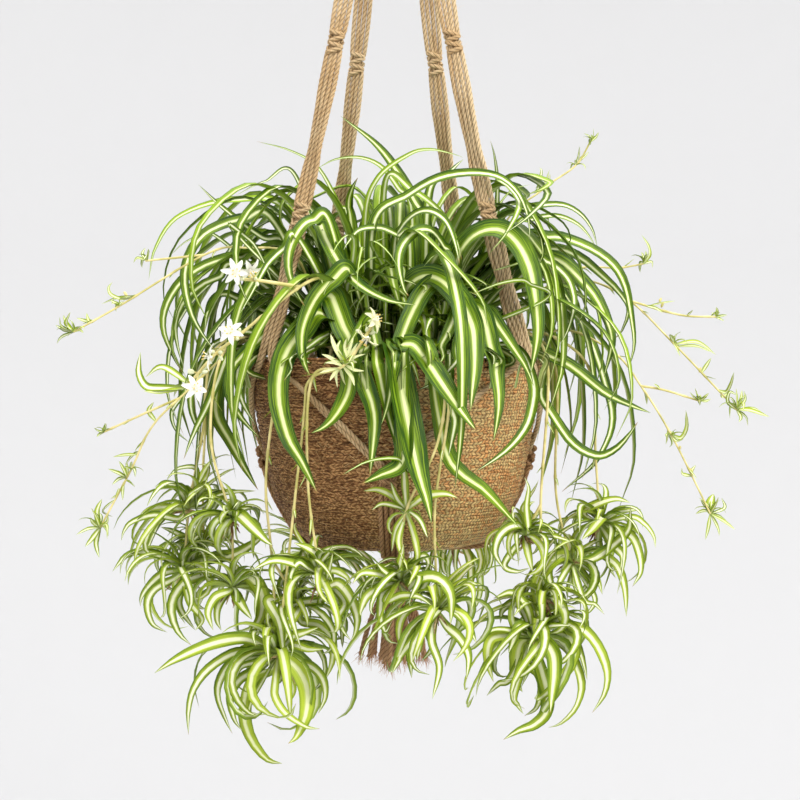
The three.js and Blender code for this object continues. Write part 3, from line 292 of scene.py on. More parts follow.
class Finish:
    """A material whose nodes are added one by one; what is the same all over is set by name."""

    def __init__(self, name, **constants):
        self.material = bpy.data.materials.new(name)
        self.material.use_nodes = True
        self.tree = self.material.node_tree
        self.surface = self.tree.nodes["Principled BSDF"]
        for key, value in constants.items():
            self.surface.inputs[key.replace("_", " ")].default_value = value

    def node(self, kind, settings=None, inputs=None, output=0):
        """A node of a kind: its settings first, then the values or links of its sockets."""
        made = self.tree.nodes.new(kind)
        for key, value in (settings or {}).items():
            setattr(made, key, value)
        for key, value in (inputs or {}).items():
            self.put(made.inputs[key], value)
        return Value(self, made.outputs[output])

    def put(self, socket, value):
        if isinstance(value, Value):
            self.tree.links.new(value.socket, socket)
        else:
            socket.default_value = value

    def carried(self, name):
        """A value that the piece's points carry."""
        return self.node("ShaderNodeAttribute", {"attribute_name": name}, output=2)

    def place(self):
        """The point's place on the piece, in metres."""
        return self.node("ShaderNodeTexCoord", output=3)

    def at(self, x, y, z):
        return self.node("ShaderNodeCombineXYZ", inputs={0: x, 1: y, 2: z})

    def noise(self, vector, scale, detail=2.0):
        inputs = {"Vector": vector, "Scale": scale, "Detail": detail}
        return self.node("ShaderNodeTexNoise", inputs=inputs)

    def step(self, value, low, high, start=0.0, end=1.0):
        """From start below low to end above high, smoothly."""
        inputs = {"Value": value, "From Min": low, "From Max": high, "To Min": start, "To Max": end}
        return self.node("ShaderNodeMapRange", {"interpolation_type": "SMOOTHSTEP"}, inputs)

    def mixed(self, share, first, second):
        """The first colour where the share is 0, and the second where it is 1."""
        inputs = {0: share, 6: first, 7: second}
        return self.node("ShaderNodeMix", {"data_type": "RGBA"}, inputs, output=2)

    def finished(self, colour, roughness=None, height=None, depth=0.0):
        """Links the colour, the roughness and the bumps, whose height is depth in metres."""
        self.put(self.surface.inputs["Base Color"], colour)
        if roughness is not None:
            self.put(self.surface.inputs["Roughness"], roughness)
        if height is not None:
            bump = self.node("ShaderNodeBump", inputs={"Height": height, "Distance": depth, "Strength": 1.0})
            self.put(self.surface.inputs["Normal"], bump)
        return self.material


def shade(red, green, blue):
    """A colour given as it is seen, 0 to 255, in the linear values that a shader uses."""
    linear = [((part / 255 + 0.055) / 1.055) ** 2.4 for part in (red, green, blue)]
    return (*linear, 1.0)


print("a grey seen as 128 of 255 is", round(shade(128, 128, 128)[0], 3), "of 1 to a shader")

# %% [markdown]
# ## Round the axis
# The basket, the cords on it and the roots of the leaves are placed round the hanging axis by an azimuth,
# counted from the front towards the right, a radius and a height. The basket's wall is a short list of
# radii and drops below the rim, and everything that lies on the wall asks one function for its radius.

# %% Places round the axis, and the basket's wall
RIM_Z = -565.0
RIM_RADIUS = 131.5
WALL_THICK = 5.0
BASKET_DEPTH = 157.0
BASKET_PROFILE = [(131.5, 0), (119.5, 46), (112, 86), (105, 114), (90, 141), (76, 154), (64, 157)]


def around(azimuth, radius, z):
    """Radius times (sine, -cosine) of the azimuth in degrees, at height z."""
    angle = np.radians(azimuth)
    return np.stack(np.broadcast_arrays(radius * np.sin(angle), -radius * np.cos(angle), z), -1) * 1.0


def wall_radius(z):
    """Straight between the corners of the profile, and the rim's radius above it."""
    radii, drops = np.array(BASKET_PROFILE).T
    return np.interp(RIM_Z - z, drops, radii)


def mix(start, end, share):
    return start + (end - start) * share


print("wall radius at half depth", wall_radius(RIM_Z - BASKET_DEPTH / 2))

# %% [markdown]
# ## Jute cord
# The hanger is knotted from three-ply jute, about 4 mm thick. Blender's Screw modifier can twist a profile
# along a straight line only, so the rope is a tube here whose section has three bulges and turns as it goes
# along any curve. The plies then catch the light as slanting beads. Short loose hairs stand off every cord,
# as they do on real jute.

# %% A rope of three plies with loose hairs
CORD_RADIUS = 2.1
CORD_STEP = 1.6
TWIST_PITCH = 15.0
PLIES = 3
PLY_SIDES = 4
ROPE_SIDES = PLIES * PLY_SIDES
PLY_CORE = 0.76
PLY_BULGE = 0.24
HAIR_RADIUS = 0.11
HAIR_POINTS = 5
HAIR_THINS = 0.7
HAIR_LENGTHS = (2.5, 7.5)
cord_draws = np.random.default_rng(11)


def hair(skin, start, way, length, draws, radius=HAIR_RADIUS, tone=0.5, bend=0.6):
    """A thin three-sided fibre that leaves along a direction and bends off it as a parabola."""
    share = np.linspace(0, 1, HAIR_POINTS)[:, None]
    aside = bend * unit(draws.normal(size=3))
    spine = start + length * (share * way + share**2 * aside)
    skin.loft(tube(spine, radius * (1 - HAIR_THINS * share[:, 0]), 3), tone=tone)


def rope(skin, points, radius=CORD_RADIUS, tone=0.5, hairs=0.0, step=CORD_STEP):
    """At distance s along the line the section's radius at angle a is r (0.76 + 0.24 |cos(3a/2)|^0.7), and
    the section is turned by 2 pi s / pitch. The radius is one number, or one for each of the points."""
    points = np.asarray(points, float)
    reach = length_along(curve(points, 12 * len(points)))[-1]
    count = max(6, int(reach / step))
    spine = curve(points, count)
    share = np.linspace(0, 1, count)
    thick = np.interp(share, np.linspace(0, 1, np.size(radius)), np.atleast_1d(radius))
    angle = 2 * math.pi * np.arange(ROPE_SIDES) / ROPE_SIDES
    section = PLY_CORE + PLY_BULGE * np.abs(np.cos(PLIES * angle / 2)) ** 0.7
    turn = 2 * math.pi * (share * reach / TWIST_PITCH + cord_draws.random())
    rings = tube(spine, thick[:, None] * section, ROPE_SIDES, turn)
    values = {
        "along": np.broadcast_to((share * reach)[:, None], rings.shape[:2]),
        "turned_x": np.cos(angle),
        "turned_y": np.sin(angle),
        "groove": 1 - (section - PLY_CORE) / PLY_BULGE,
        "tone": tone,
    }
    skin.loft(rings, **values)
    along = unit(np.gradient(spine, axis=0))
    for i in cord_draws.integers(1, count - 1, int(hairs * reach)):
        start = rings[i, cord_draws.integers(ROPE_SIDES)]
        out = unit(start - spine[i])
        way = unit(0.5 * out + cord_draws.choice((-1, 1)) * along[i] + 0.3 * cord_draws.normal(size=3))
        length = cord_draws.uniform(*HAIR_LENGTHS)
        hair(skin, start - 0.3 * out, way, length, cord_draws, tone=tone + 0.2)


print("a cord's section has", ROPE_SIDES, "sides and turns once in", TWIST_PITCH, "mm")

# %% [markdown]
# Jute is a pale tan fibre with a matt, straw-like sheen. The streaks of its colour run along each ply, so
# the pattern reads the place in the turned section together with the distance along the cord. The grooves
# between the plies are darker, which is shadow and dust on the real cord.

# %% Jute, with streaks that follow the plies
def jute_finish(name, dark, middle, light):
    finish = Finish(name, Roughness=0.86, Specular_IOR_Level=0.25)
    tone = finish.carried("tone")
    turned = [finish.carried(key) * 5.0 for key in ("turned_x", "turned_y")]
    along = finish.carried("along")
    fibres = finish.noise(finish.at(*turned, along * 0.35), 1.6, 4.0)
    patches = finish.noise(finish.place(), 38.0, 3.0)
    share = finish.step(fibres * 0.65 + patches * 0.35 + (tone - 0.5) * 0.22, 0.34, 0.64)
    colour = finish.mixed(share, middle, light)
    deep = finish.step(finish.carried("groove") + (fibres - 0.5) * 0.5, 0.45, 1.0)
    return finish.finished(finish.mixed(deep * 0.85, colour, dark), height=fibres, depth=0.0009)


jute = jute_finish("jute", shade(104, 74, 46), shade(204, 168, 120), shade(240, 214, 170))
# a darker copy of the jute for the net cords: painted shade where they lie on the wall under the leaves
shaded_net_jute = jute_finish("shaded_net_jute", shade(84, 54, 34), shade(166, 122, 84), shade(206, 164, 120))
frayed = jute_finish("frayed_jute", shade(104, 68, 48), shade(176, 128, 92), shade(214, 174, 132))
print("jute and its frayed ends")

# %% [markdown]
# ## The hanger's arms
# Each arm is four cords side by side. Two square knots gather them: the outer cords cross over the inner
# ones, one always in front and one always behind. A path that swings from side to side as a cosine, and
# forward as the size of a sine, is exactly that. Below the lower knot the cords part in pairs, which go over
# the rim and along the wall to the knots of the net.

# %% The line of an arm, and the path of a knotting cord
WRAP_BOTTOM_Z = -58.0
ARM_TOP = {"x": 7.6, "front": -5.0, "back": 6.0, "pitch": 3.4}
ARM_PITCH = 4.25
FRONT_ARM = 51
BACK_ARM = 148
UPPER_KNOT_Z = -300.0
LOWER_KNOT_Z = -445.0
KNOT_HALF = 10.0
KNOT_SWING = 5.4
KNOT_FRONT = 3.3
KNOT_SINK = 5.0
INNER_PITCH = 3.1
CORD_SEAT = 3.3
PAIR_SPREAD = 3.4
STRAND_SHIFTS = (-1.5, -0.5, 0.5, 1.5)
ARM_BOW = {-FRONT_ARM: 4.5, FRONT_ARM: 7.0, -BACK_ARM: 3.5, BACK_ARM: 3.5}
ARM_TURN_DROPS = (58, 190, 288, 314, 350, 395, 431, 458, 500, 555)
ARM_TURNS = (0, 34, 0, 0, 34, 52, 0, 0, 46, 0)
HIGH_PLACES = np.linspace(-90, -265, 6)
BETWEEN_KNOTS = np.linspace(35, -35, 5)
LOW_DROPS = np.array([30.0, 55.0, 80.0])
WRAP_HOLD = 6.0
KNOT_POINTS = 25
INNER_POINTS = 5
OVER_RIM = 2.0
PAIR_GAP = 0.15
WALL_STEPS = 4
NET_KNOTS = {"front": (-3, 94), "right": (100, 84), "back": (180, 90), "left": (-100, 84)}
ARMS = {
    "arm_front_left": (-FRONT_ARM, "left", "front"),
    "arm_front_right": (FRONT_ARM, "front", "right"),
    "arm_back_left": (-BACK_ARM, "back", "left"),
    "arm_back_right": (BACK_ARM, "right", "back"),
}


def arm_point(azimuth, z):
    """From the wrap to where the arm meets the rim, with a slight bow b sin(pi u^1.4) inwards."""
    z = np.asarray(z, float)[..., None]
    y = ARM_TOP["front"] if abs(azimuth) < 90 else ARM_TOP["back"]
    top = np.array([math.copysign(ARM_TOP["x"], azimuth), y, WRAP_BOTTOM_Z])
    foot = around(azimuth, RIM_RADIUS + CORD_SEAT, RIM_Z)
    share = (z - top[2]) / (foot[2] - top[2])
    bow = ARM_BOW[azimuth] * np.sin(math.pi * np.clip(share, 0, 1) ** 1.4)
    return mix(top, foot, share) - math.copysign(1, azimuth) * bow * RIGHT


def arm_across(z):
    """The way from cord to cord: the band turns about its own line between the knots."""
    angle = np.radians(np.interp(-np.asarray(z, float), ARM_TURN_DROPS, ARM_TURNS))[..., None]
    return np.cos(angle) * RIGHT + np.sin(angle) * FORWARD


def on_wall(azimuth, z):
    return around(azimuth, wall_radius(z) + CORD_SEAT, z)


def knotting(middle, across, out, down, hand):
    """At share t of the knot the cord is at hand w cos(4 pi t) across and at d |sin(4 pi t)|^0.8 out."""
    t = np.linspace(0, 1, KNOT_POINTS)[:, None]
    swing = hand * KNOT_SWING * np.cos(4 * math.pi * t)
    lift = -hand * KNOT_FRONT * np.abs(np.sin(4 * math.pi * t)) ** 0.8
    return middle + swing * across + lift * out + KNOT_HALF * (2 * t - 1) * down


def arm_strand(azimuth, shift, to_left, to_right):
    """The points of one cord, from the wrap through both knots and over the rim to a knot of the net."""
    outer = abs(shift) > 1
    down = unit(arm_point(azimuth, RIM_Z) - arm_point(azimuth, 0.0))

    def beside(z, pitch):
        return arm_point(azimuth, z) + arm_across(z) * shift * pitch

    def through(z):
        if outer:
            return knotting(arm_point(azimuth, z), RIGHT, FORWARD, down, math.copysign(1, shift))
        return beside(z + np.linspace(KNOT_HALF, -KNOT_HALF, INNER_POINTS), INNER_PITCH)

    between = (UPPER_KNOT_Z + LOWER_KNOT_Z) / 2
    path = [beside(WRAP_BOTTOM_Z + WRAP_HOLD, ARM_TOP["pitch"]), *beside(HIGH_PLACES, ARM_PITCH)]
    path += [*through(UPPER_KNOT_Z), *beside(between + BETWEEN_KNOTS, ARM_PITCH)]
    path += [*through(LOWER_KNOT_Z), *beside(LOWER_KNOT_Z - LOW_DROPS, ARM_PITCH)]
    pair = math.copysign(1, shift)
    in_pair = shift - pair
    turn = pair if abs(azimuth) < 90 else -pair
    knot_azimuth, drop = NET_KNOTS[to_left if turn < 0 else to_right]
    rim_azimuth = azimuth + turn * PAIR_SPREAD
    reach = (knot_azimuth - rim_azimuth + 540) % 360 - 180
    apart = 2 * in_pair * (CORD_RADIUS + PAIR_GAP)
    degrees_apart = math.degrees(apart / RIM_RADIUS)
    for share in np.linspace(0, 1, WALL_STEPS + 1):
        level = min(1.0, 2 * share)
        z = mix(RIM_Z + OVER_RIM, RIM_Z - drop + KNOT_SINK, share) - apart * turn * level
        path.append(on_wall(rim_azimuth + reach * share + degrees_apart * pair * turn * (1 - level), z))
    return np.array(path)


for azimuth in (FRONT_ARM, BACK_ARM):
    print("the arm at", azimuth, "degrees meets the rim at", arm_point(azimuth, RIM_Z).round(1).tolist())

# %% Four arms
for name, (azimuth, to_left, to_right) in ARMS.items():
    skin = Skin()
    lengths = []
    for shift in STRAND_SHIFTS:
        path = arm_strand(azimuth, shift, to_left, to_right)
        lengths.append(length_along(path)[-1])
        rope(skin, path, tone=cord_draws.uniform(0.2, 0.8), hairs=0.22)
    skin.piece(f"{name}_cords", "jute_cord", jute, [name])
    print("  longest cord", round(max(lengths)), "mm")

# %% [markdown]
# ## The net, the wraps and the tassel
# Four square knots lie on the wall between the arms. Their cords run on down the wall, bend under the floor
# and meet in a wrap, from which the tassel hangs. A wrap is one cord wound as a helix round the bundle, and
# that is how it is made here, at the ring as well as under the basket.

# %% Net knots and their cords down the wall
KNOT_OUT = 5.4
WALL_DROPS = (116, 143)
FLOOR_EDGE = 79.0
UNDER_FLOOR = (64, 30)
NET_PITCHES = (4.3, 4.3, 4.3, 4.3, 3.0, 1.6, 1.0)
BASE_WRAP_RADIUS = 12.0
BASE_WRAP_LENGTH = 30.0
BASE_WRAP_TOP = RIM_Z - BASKET_DEPTH - 0.3
BASE_WRAP_BOTTOM = BASE_WRAP_TOP - BASE_WRAP_LENGTH

for name, (azimuth, drop) in NET_KNOTS.items():
    skin = Skin()
    beside = around(azimuth + 90, 1, 0)
    out = around(azimuth, 1, 0)
    knot_z = RIM_Z - drop
    middle = around(azimuth, wall_radius(knot_z) + KNOT_OUT, knot_z)
    down = unit(on_wall(azimuth, knot_z - KNOT_HALF) - on_wall(azimuth, knot_z + KNOT_HALF))
    low = RIM_Z - BASKET_DEPTH - CORD_SEAT
    spine = [
        *[on_wall(azimuth, RIM_Z - wall_drop) for wall_drop in WALL_DROPS],
        around(azimuth, FLOOR_EDGE, RIM_Z - BASKET_DEPTH - 0.4),
        *[around(azimuth, radius, low) for radius in UNDER_FLOOR],
        around(azimuth, BASE_WRAP_RADIUS - 1.7, low),
        around(azimuth, BASE_WRAP_RADIUS - 4.0, low - 5),
    ]
    for shift in STRAND_SHIFTS:
        if abs(shift) > 1:
            start = knotting(middle, beside, out, down, math.copysign(1, shift))
        else:
            ends = np.array([[-KNOT_HALF], [0], [KNOT_HALF]])
            start = middle + shift * INNER_PITCH * beside + ends * down
        path = [point + shift * pitch * beside for point, pitch in zip(spine, NET_PITCHES)]
        rope(skin, [*start, *path], tone=cord_draws.uniform(0.2, 0.8), hairs=0.2)
    skin.piece(f"net_{name}_cords", "jute_cord", shaded_net_jute, [f"net_{name}"])

# %% The ring, and the cords that loop over it
RING_EYE = 15.0
RING_WIRE = 2.5
RING_RADIUS = RING_EYE + RING_WIRE
RING_STEP = 5
WIRE_STEP = 18
LOOP_PLACES = np.arange(-12.6, 13, 3.6)
LOOP_RADIUS = 1.9
WRAP_SHAPE = [(-37.4, 8.2), (-47, 11.0), (-54, 13.2), (-58.5, 13.4)]
TOP_WRAP_TURNS = 5.2
TOP_WRAP_POINTS = 80
CORE_POINTS = 6
CORE_SIDES = 20
turned = np.radians(np.arange(0, 360, RING_STEP))[:, None]
wire = np.radians(np.arange(0, 360, WIRE_STEP))[None, :]
reach = RING_RADIUS + RING_WIRE * np.cos(wire)
rings = np.stack([reach * np.cos(turned), RING_WIRE * np.sin(wire) + 0 * turned,
                  reach * np.sin(turned) - RING_EYE], -1)
steel = Finish("ring_steel", Metallic=1.0)
worn = steel.noise(steel.place(), 900.0, 4.0)
steel_colour = steel.mixed(steel.step(worn, 0.4, 0.7), shade(196, 194, 188), shade(168, 165, 158))
steel.finished(steel_colour, roughness=steel.step(worn, 0.3, 0.7, 0.22, 0.38), height=worn, depth=0.00003)
skin = Skin()
skin.loft(rings, hoop=True)
skin.piece("steel_ring", "ring_metal", steel.material, ["hanging_ring"])

skin = Skin()
for x in LOOP_PLACES:
    wire_z = -RING_EYE - math.sqrt(RING_RADIUS**2 - x**2)
    over = RING_WIRE + CORD_RADIUS + 0.1
    half = [(0.5 * x, -3.4, -44), (0.8 * x, -over, -37), (x, -over, wire_z)]
    path = [*half, (x, 0, wire_z + over), *[(a, -b, c) for a, b, c in half[::-1]]]
    rope(skin, path, radius=LOOP_RADIUS, tone=cord_draws.uniform(0.2, 0.8), hairs=0.15)


def top_wrap_radius(z):
    heights, radii = np.transpose(WRAP_SHAPE)
    return np.interp(-z, -heights, radii)


turns = np.linspace(0, TOP_WRAP_TURNS, TOP_WRAP_POINTS)
wrap_z = np.linspace(-37.4, -57.5, TOP_WRAP_POINTS)
rope(skin, around(360 * turns, top_wrap_radius(wrap_z), wrap_z), tone=0.6, hairs=0.2)
core = np.linspace(-40, -57.5, CORE_POINTS)
# the core between the wrap's turns is painted darker by groove 0.6: painted shadow and dust, as in the
# grooves
skin.loft(tube(np.outer(core, UP), top_wrap_radius(core), CORE_SIDES), tone=0.2, groove=0.6)
skin.piece("ring_loops_and_wrap", "jute_cord", jute, ["top_wrap"])

# %% The wrap under the basket
BASE_WRAP_TURNS = 7.0
BASE_WRAP_POINTS = 110
BASE_WRAP_START = 40
WRAP_NARROWS = 0.9
CORE_INSET = 3.4
skin = Skin()
turns = np.linspace(0, BASE_WRAP_TURNS, BASE_WRAP_POINTS)
wrap_z = np.linspace(BASE_WRAP_TOP - CORD_RADIUS, BASE_WRAP_BOTTOM + CORD_RADIUS, BASE_WRAP_POINTS)
ends = np.abs(np.linspace(-1, 1, BASE_WRAP_POINTS)) ** 3
wrap_radius = BASE_WRAP_RADIUS - CORD_RADIUS - WRAP_NARROWS * ends
rope(skin, around(360 * turns + BASE_WRAP_START, wrap_radius, wrap_z), tone=0.55, hairs=0.25)
core = np.linspace(BASE_WRAP_TOP - 1, BASE_WRAP_BOTTOM + 1, CORE_POINTS)
# the core between the wrap's turns is painted darker by groove 0.6: painted shadow and dust, as in the
# grooves
skin.loft(tube(np.outer(core, UP), BASE_WRAP_RADIUS - CORE_INSET, CORE_SIDES), tone=0.2, groove=0.6)
skin.piece("gather_wrap", "jute_cord", jute, ["base_wrap"])

# %% The tassel, whose cords open into loose fibres
TASSEL_STRANDS = 16
TASSEL_LENGTH = 76.0
TASSEL_SPREAD = 31.0
TASSEL_LINE = ((0.42, 0.2, 0), (0.78, 0.6, 1), (1, 1, 0))  # shares of the reach, the length and the sway
TASSEL_RADII = (2.0, 2.3, 2.3, 2.5)
FRAYED_HAIRS = 26
GOLDEN_ANGLE = 137.508
tassel_draws = np.random.default_rng(41)
skin = Skin()
for k in range(TASSEL_STRANDS):
    azimuth = k * GOLDEN_ANGLE
    reach = TASSEL_SPREAD * math.sqrt((k + 0.6) / TASSEL_STRANDS)
    length = TASSEL_LENGTH * tassel_draws.uniform(0.86, 0.95)
    sway = tassel_draws.uniform(-16, 16)
    path = [around(azimuth, 0.24 * reach, BASE_WRAP_BOTTOM + 3)]
    for out, down, aside in TASSEL_LINE:
        path.append(around(azimuth + aside * sway, out * reach, BASE_WRAP_BOTTOM - down * length))
    rope(skin, path, radius=TASSEL_RADII, tone=tassel_draws.uniform(0.2, 0.7), hairs=0.5)
    end = np.array(path[-1])
    way = unit(end - path[-2])
    for _ in range(FRAYED_HAIRS):
        start = end - way * tassel_draws.uniform(0, 5) + 1.5 * tassel_draws.normal(size=3) * (1, 1, 0.3)
        lean = unit(way + 0.28 * tassel_draws.normal(size=3))
        hair(skin, start, lean, tassel_draws.uniform(5, 11), tassel_draws, 0.28, 0.1, 0.3)
skin.piece("tassel_cords", "jute_cord", frayed, ["tassel"])

# %% [markdown]
# ## The basket
# The basket is a long braid of plant fibre, coiled and sewn row on row. Modelling every strand would cost
# millions of faces, so the rows are real relief and the plaits are shaded. The wall is one profile carried
# round the axis: out across the floor, up the outside with a bulge for every row, over the rolled rim, down
# the inside and back to the middle.

# %% The basket as a profile carried round the axis
ROW = 5.4
ROW_BULGE = 1.1
ROW_POINTS = 7
ROW_EDGE = 0.55
ROW_MEAN = 0.75
ROUND_STEPS = 288
FLOOR_RISE = 5.0
AXIS_RADIUS = 0.4
FLOOR_POINTS = 14
ROLL_POINTS = 7
INSIDE_POINTS = 24
BOTTOM_RADIUS = 56.0
BOTTOM_POINTS = 8
WAVES = 9
WOBBLE = 0.28
WAVE_DRIFT = 0.35
basket_draws = np.random.default_rng(3)


def turned_skin(skin, profile, steps, relief=None, **values):
    """Carries a profile of (radius, z) round the axis, as x = r cos a and y = r sin a. The rings run from
    the profile's first point to its last; relief is added to the radius, one row for each point."""
    radius, z = np.asarray(profile, float).T
    azimuth = 360 * np.arange(steps) / steps
    grid = radius[:, None] + (0 if relief is None else relief)
    x, y = grid * np.cos(np.radians(azimuth)), grid * np.sin(np.radians(azimuth))
    rings = np.stack([x, y, z[:, None] + 0 * x], -1)
    shaped = {key: np.reshape(value, (-1, 1)) for key, value in values.items()}
    skin.loft(rings, **shaped)
    return rings


def waves(count, steps, rows):
    """A sum of sines with whole numbers of waves round the axis, so that it closes, each drifting from row
    to row; from about -1 to 1."""
    azimuth = 2 * math.pi * np.arange(steps) / steps
    total = np.zeros((rows, steps))
    for _ in range(count):
        number = basket_draws.integers(3, 40)
        drift = np.cumsum(basket_draws.normal(size=rows)) * WAVE_DRIFT
        total += np.sin(number * azimuth[None, :] + drift[:, None] + 6 * basket_draws.random())
    return total / math.sqrt(count)


rows = round(BASKET_DEPTH / ROW)
outer_drop = np.linspace(BASKET_DEPTH, 0, rows * ROW_POINTS + 1)
row_place = outer_drop / ROW
bulge = ROW_BULGE * (np.abs(np.sin(math.pi * row_place)) ** ROW_EDGE - ROW_MEAN)
outside = [(wall_radius(RIM_Z - drop), RIM_Z - drop) for drop in outer_drop]
floor_radii = np.linspace(AXIS_RADIUS, BASKET_PROFILE[-1][0] - 2, FLOOR_POINTS)
floor = [(radius, RIM_Z - BASKET_DEPTH + 0.5 * math.cos(radius)) for radius in floor_radii]
roll = np.linspace(0.15, 0.85, ROLL_POINTS) * math.pi
rim = [(RIM_RADIUS - WALL_THICK / 2 + 3.0 * math.cos(a), RIM_Z - 0.5 + 2.6 * math.sin(a)) for a in roll]
inner_drop = np.linspace(3, BASKET_DEPTH - FLOOR_RISE, INSIDE_POINTS)
inside = [(wall_radius(RIM_Z - drop) - WALL_THICK, RIM_Z - drop) for drop in inner_drop]
bottom_radii = np.linspace(BOTTOM_RADIUS, AXIS_RADIUS, BOTTOM_POINTS)
bottom = [(radius, RIM_Z - BASKET_DEPTH + FLOOR_RISE) for radius in bottom_radii]
profile = [*floor, *outside, *rim, *inside, *bottom]
place_in_row = [floor_radii / ROW, row_place, 0.5 + 0 * roll, inner_drop / ROW, 0 * bottom_radii]
wobble = waves(WAVES, ROUND_STEPS, len(profile)) * WOBBLE
lift = np.concatenate([0 * floor_radii, bulge, 0 * roll, 0 * inner_drop, 0 * bottom_radii])
order = np.arange(len(profile))
edge = (np.minimum(1, order / 16) * np.minimum(1, order[::-1] / 9))[:, None]
skin = Skin()
turned_skin(skin, profile, ROUND_STEPS, (lift[:, None] + wobble) * edge, row=np.concatenate(place_in_row))
print("the basket's wall has", rows, "rows of braid, and its profile", len(profile), "points")

# %% [markdown]
# In each row the fibre runs up and down in plaits: small slanting lumps, one way in the upper half of
# the row and the other way in the lower half. The shader builds them from two numbers, the row with its
# fraction, which the points carry, and the azimuth, which it works out from the place. A whole number of
# plaits goes round, so the pattern closes. Both numbers are shaken by noise, because real braid is uneven,
# and every lump gets a colour of its own. The gaps between the lumps and the slits between the straws are
# painted dark as shade. The left side of the basket is painted darker and browner as shade, with darker
# slits, and the right side pale straw as painted light, lit from the right.

# %% Braided plant fibre
PLAITS = 190
woven = Finish("woven_fibre", Specular_IOR_Level=0.25)
place = woven.place()
split = woven.node("ShaderNodeSeparateXYZ", inputs={0: place})
x_place, y_place, z_place = (Value(woven, split.socket.node.outputs[i]) for i in range(3))
shaken = woven.noise(place, 120.0, 2.0)
drifting = woven.noise(place, 46.0, 2.0)
row = woven.carried("row") + (drifting - 0.5) * 1.0
in_row = row.math("FRACT")
slant = abs(in_row - 0.5) * 1.5
phase = x_place.math("ARCTAN2", y_place) * (PLAITS / (2 * math.pi)) + slant + (shaken - 0.5) * 1.6
across_lump = abs((phase * math.pi).math("SINE"))
along_lump = abs((row * (2 * math.pi)).math("SINE"))
lump = across_lump.math("POWER", 0.7) * along_lump.math("POWER", 0.45)
lump_number = woven.at(phase.math("FLOOR"), (row * 2).math("FLOOR"), 0.0)
own = woven.node("ShaderNodeTexWhiteNoise", {"noise_dimensions": "3D"}, {"Vector": lump_number})
fine = woven.noise(woven.at(phase * 5.0, slant * 2.0, z_place * 90), 2.4, 4.0)
patch = woven.noise(place, 17.0, 3.0)
share = own * 0.45 + fine * 0.35 + patch * 0.5
straws_seen = woven.noise(woven.at(phase * 0.3, row * 2.2, patch), 2.2, 4.0)
# painted light and shade: the right side, where x is above 0, is painted pale straw as lit, and the left side
# darker and browner as shade
lit_side = woven.step(x_place + (patch - 0.5) * 0.08, -0.045, 0.04)
shaded_side_tan = woven.mixed(woven.step(share, 0.3, 0.75), shade(128, 84, 46), shade(222, 170, 112))
pale = woven.mixed(woven.step(share, 0.3, 0.8), shade(252, 180, 110), shade(255, 222, 152))
tan = woven.mixed(lit_side, shaded_side_tan, pale)
# painted shade: the gaps between the lumps and the slits between the straws are darkened, the slits less on
# the lit right side
gap_shade = 1 - woven.step(lump + (fine - 0.5) * 0.5, 0.2, 0.62)
slit_shade = (1 - woven.step(straws_seen, 0.42, 0.53)) * (1 - lit_side * 0.45)
braid_and_shade = woven.mixed(gap_shade * 0.75, woven.mixed(slit_shade * 0.85, tan, shade(74, 44, 20)), shade(116, 68, 32))
height = lump * 0.6 + fine * 0.3 + straws_seen * 0.6
rough = woven.step(fine, 0.3, 0.7, 0.7, 0.9)
fibre = woven.finished(braid_and_shade, roughness=rough, height=height, depth=0.003)
skin.piece("basket_braid", "woven_fibre", fibre, ["basket"])

# %% Loose fibres on the basket's wall
LOOSE_FIBRES = 900
skin = Skin()
for _ in range(LOOSE_FIBRES):
    drop = basket_draws.uniform(2, BASKET_DEPTH - 10)
    azimuth = basket_draws.uniform(0, 360)
    start = around(azimuth, wall_radius(RIM_Z - drop) + 0.3, RIM_Z - drop)
    out, side = around(azimuth, 1, 0), around(azimuth + 90, 1, 0)
    way = unit(0.22 * out + basket_draws.choice((-1, 1)) * side + 0.8 * basket_draws.normal() * UP)
    length = basket_draws.uniform(4, 12)
    hair(skin, start, way, length, basket_draws, radius=0.2, tone=basket_draws.random(), bend=0.25)
straws = Finish("loose_straw", Roughness=0.8)
straws.finished(straws.mixed(straws.carried("tone"), shade(150, 104, 58), shade(240, 208, 150)))
skin.piece("basket_fibres", "woven_fibre", straws.material, ["basket"])

# %% [markdown]
# ## The liner pot and the soil
# Inside the basket stands a thin black nursery pot, and in it the potting soil. Both are mostly hidden by
# the leaves, but they show from above. The soil is a grid with fractal bumps and loose crumbs of bark and
# white perlite, which is what such a mix looks like.

# %% Liner pot
LINER_TOP = 7.0
LINER_WALL = 1.6
LINER_INSET = 1.2
LINER_FLOOR = RIM_Z - BASKET_DEPTH + WALL_THICK + 0.3
LINER_FLOOR_RADIUS = 56.0
LINER_DROPS = (138, 112, 80, 60, 40, 30, 20, 13, LINER_TOP + 1.2, LINER_TOP + 0.3)
LINER_STEPS = 96


def liner_radius(drop):
    return wall_radius(RIM_Z - drop) - WALL_THICK - LINER_INSET


outside = [(AXIS_RADIUS, LINER_FLOOR), (LINER_FLOOR_RADIUS, LINER_FLOOR)]
outside += [(liner_radius(drop), RIM_Z - drop) for drop in LINER_DROPS]
inside = [(radius - LINER_WALL, z + (LINER_WALL if z == LINER_FLOOR else 0)) for radius, z in outside[:0:-1]]
lip = [(liner_radius(LINER_TOP) - LINER_WALL / 2, RIM_Z - LINER_TOP)]
skin = Skin()
turned_skin(skin, [*outside, *lip, *inside, (AXIS_RADIUS, LINER_FLOOR + LINER_WALL)], LINER_STEPS)
plastic = Finish("liner_black", Specular_IOR_Level=0.45)
grain = plastic.noise(plastic.place(), 700.0, 3.0)
plastic_colour = plastic.mixed(plastic.step(plastic.noise(plastic.place(), 30.0), 0.45, 0.75),
                               shade(34, 33, 32), shade(66, 60, 54))
plastic_rough = plastic.step(grain, 0.3, 0.7, 0.42, 0.6)
plastic.finished(plastic_colour, roughness=plastic_rough, height=grain, depth=0.00006)
skin.piece("nursery_pot", "liner_plastic", plastic.material, ["liner_pot"])

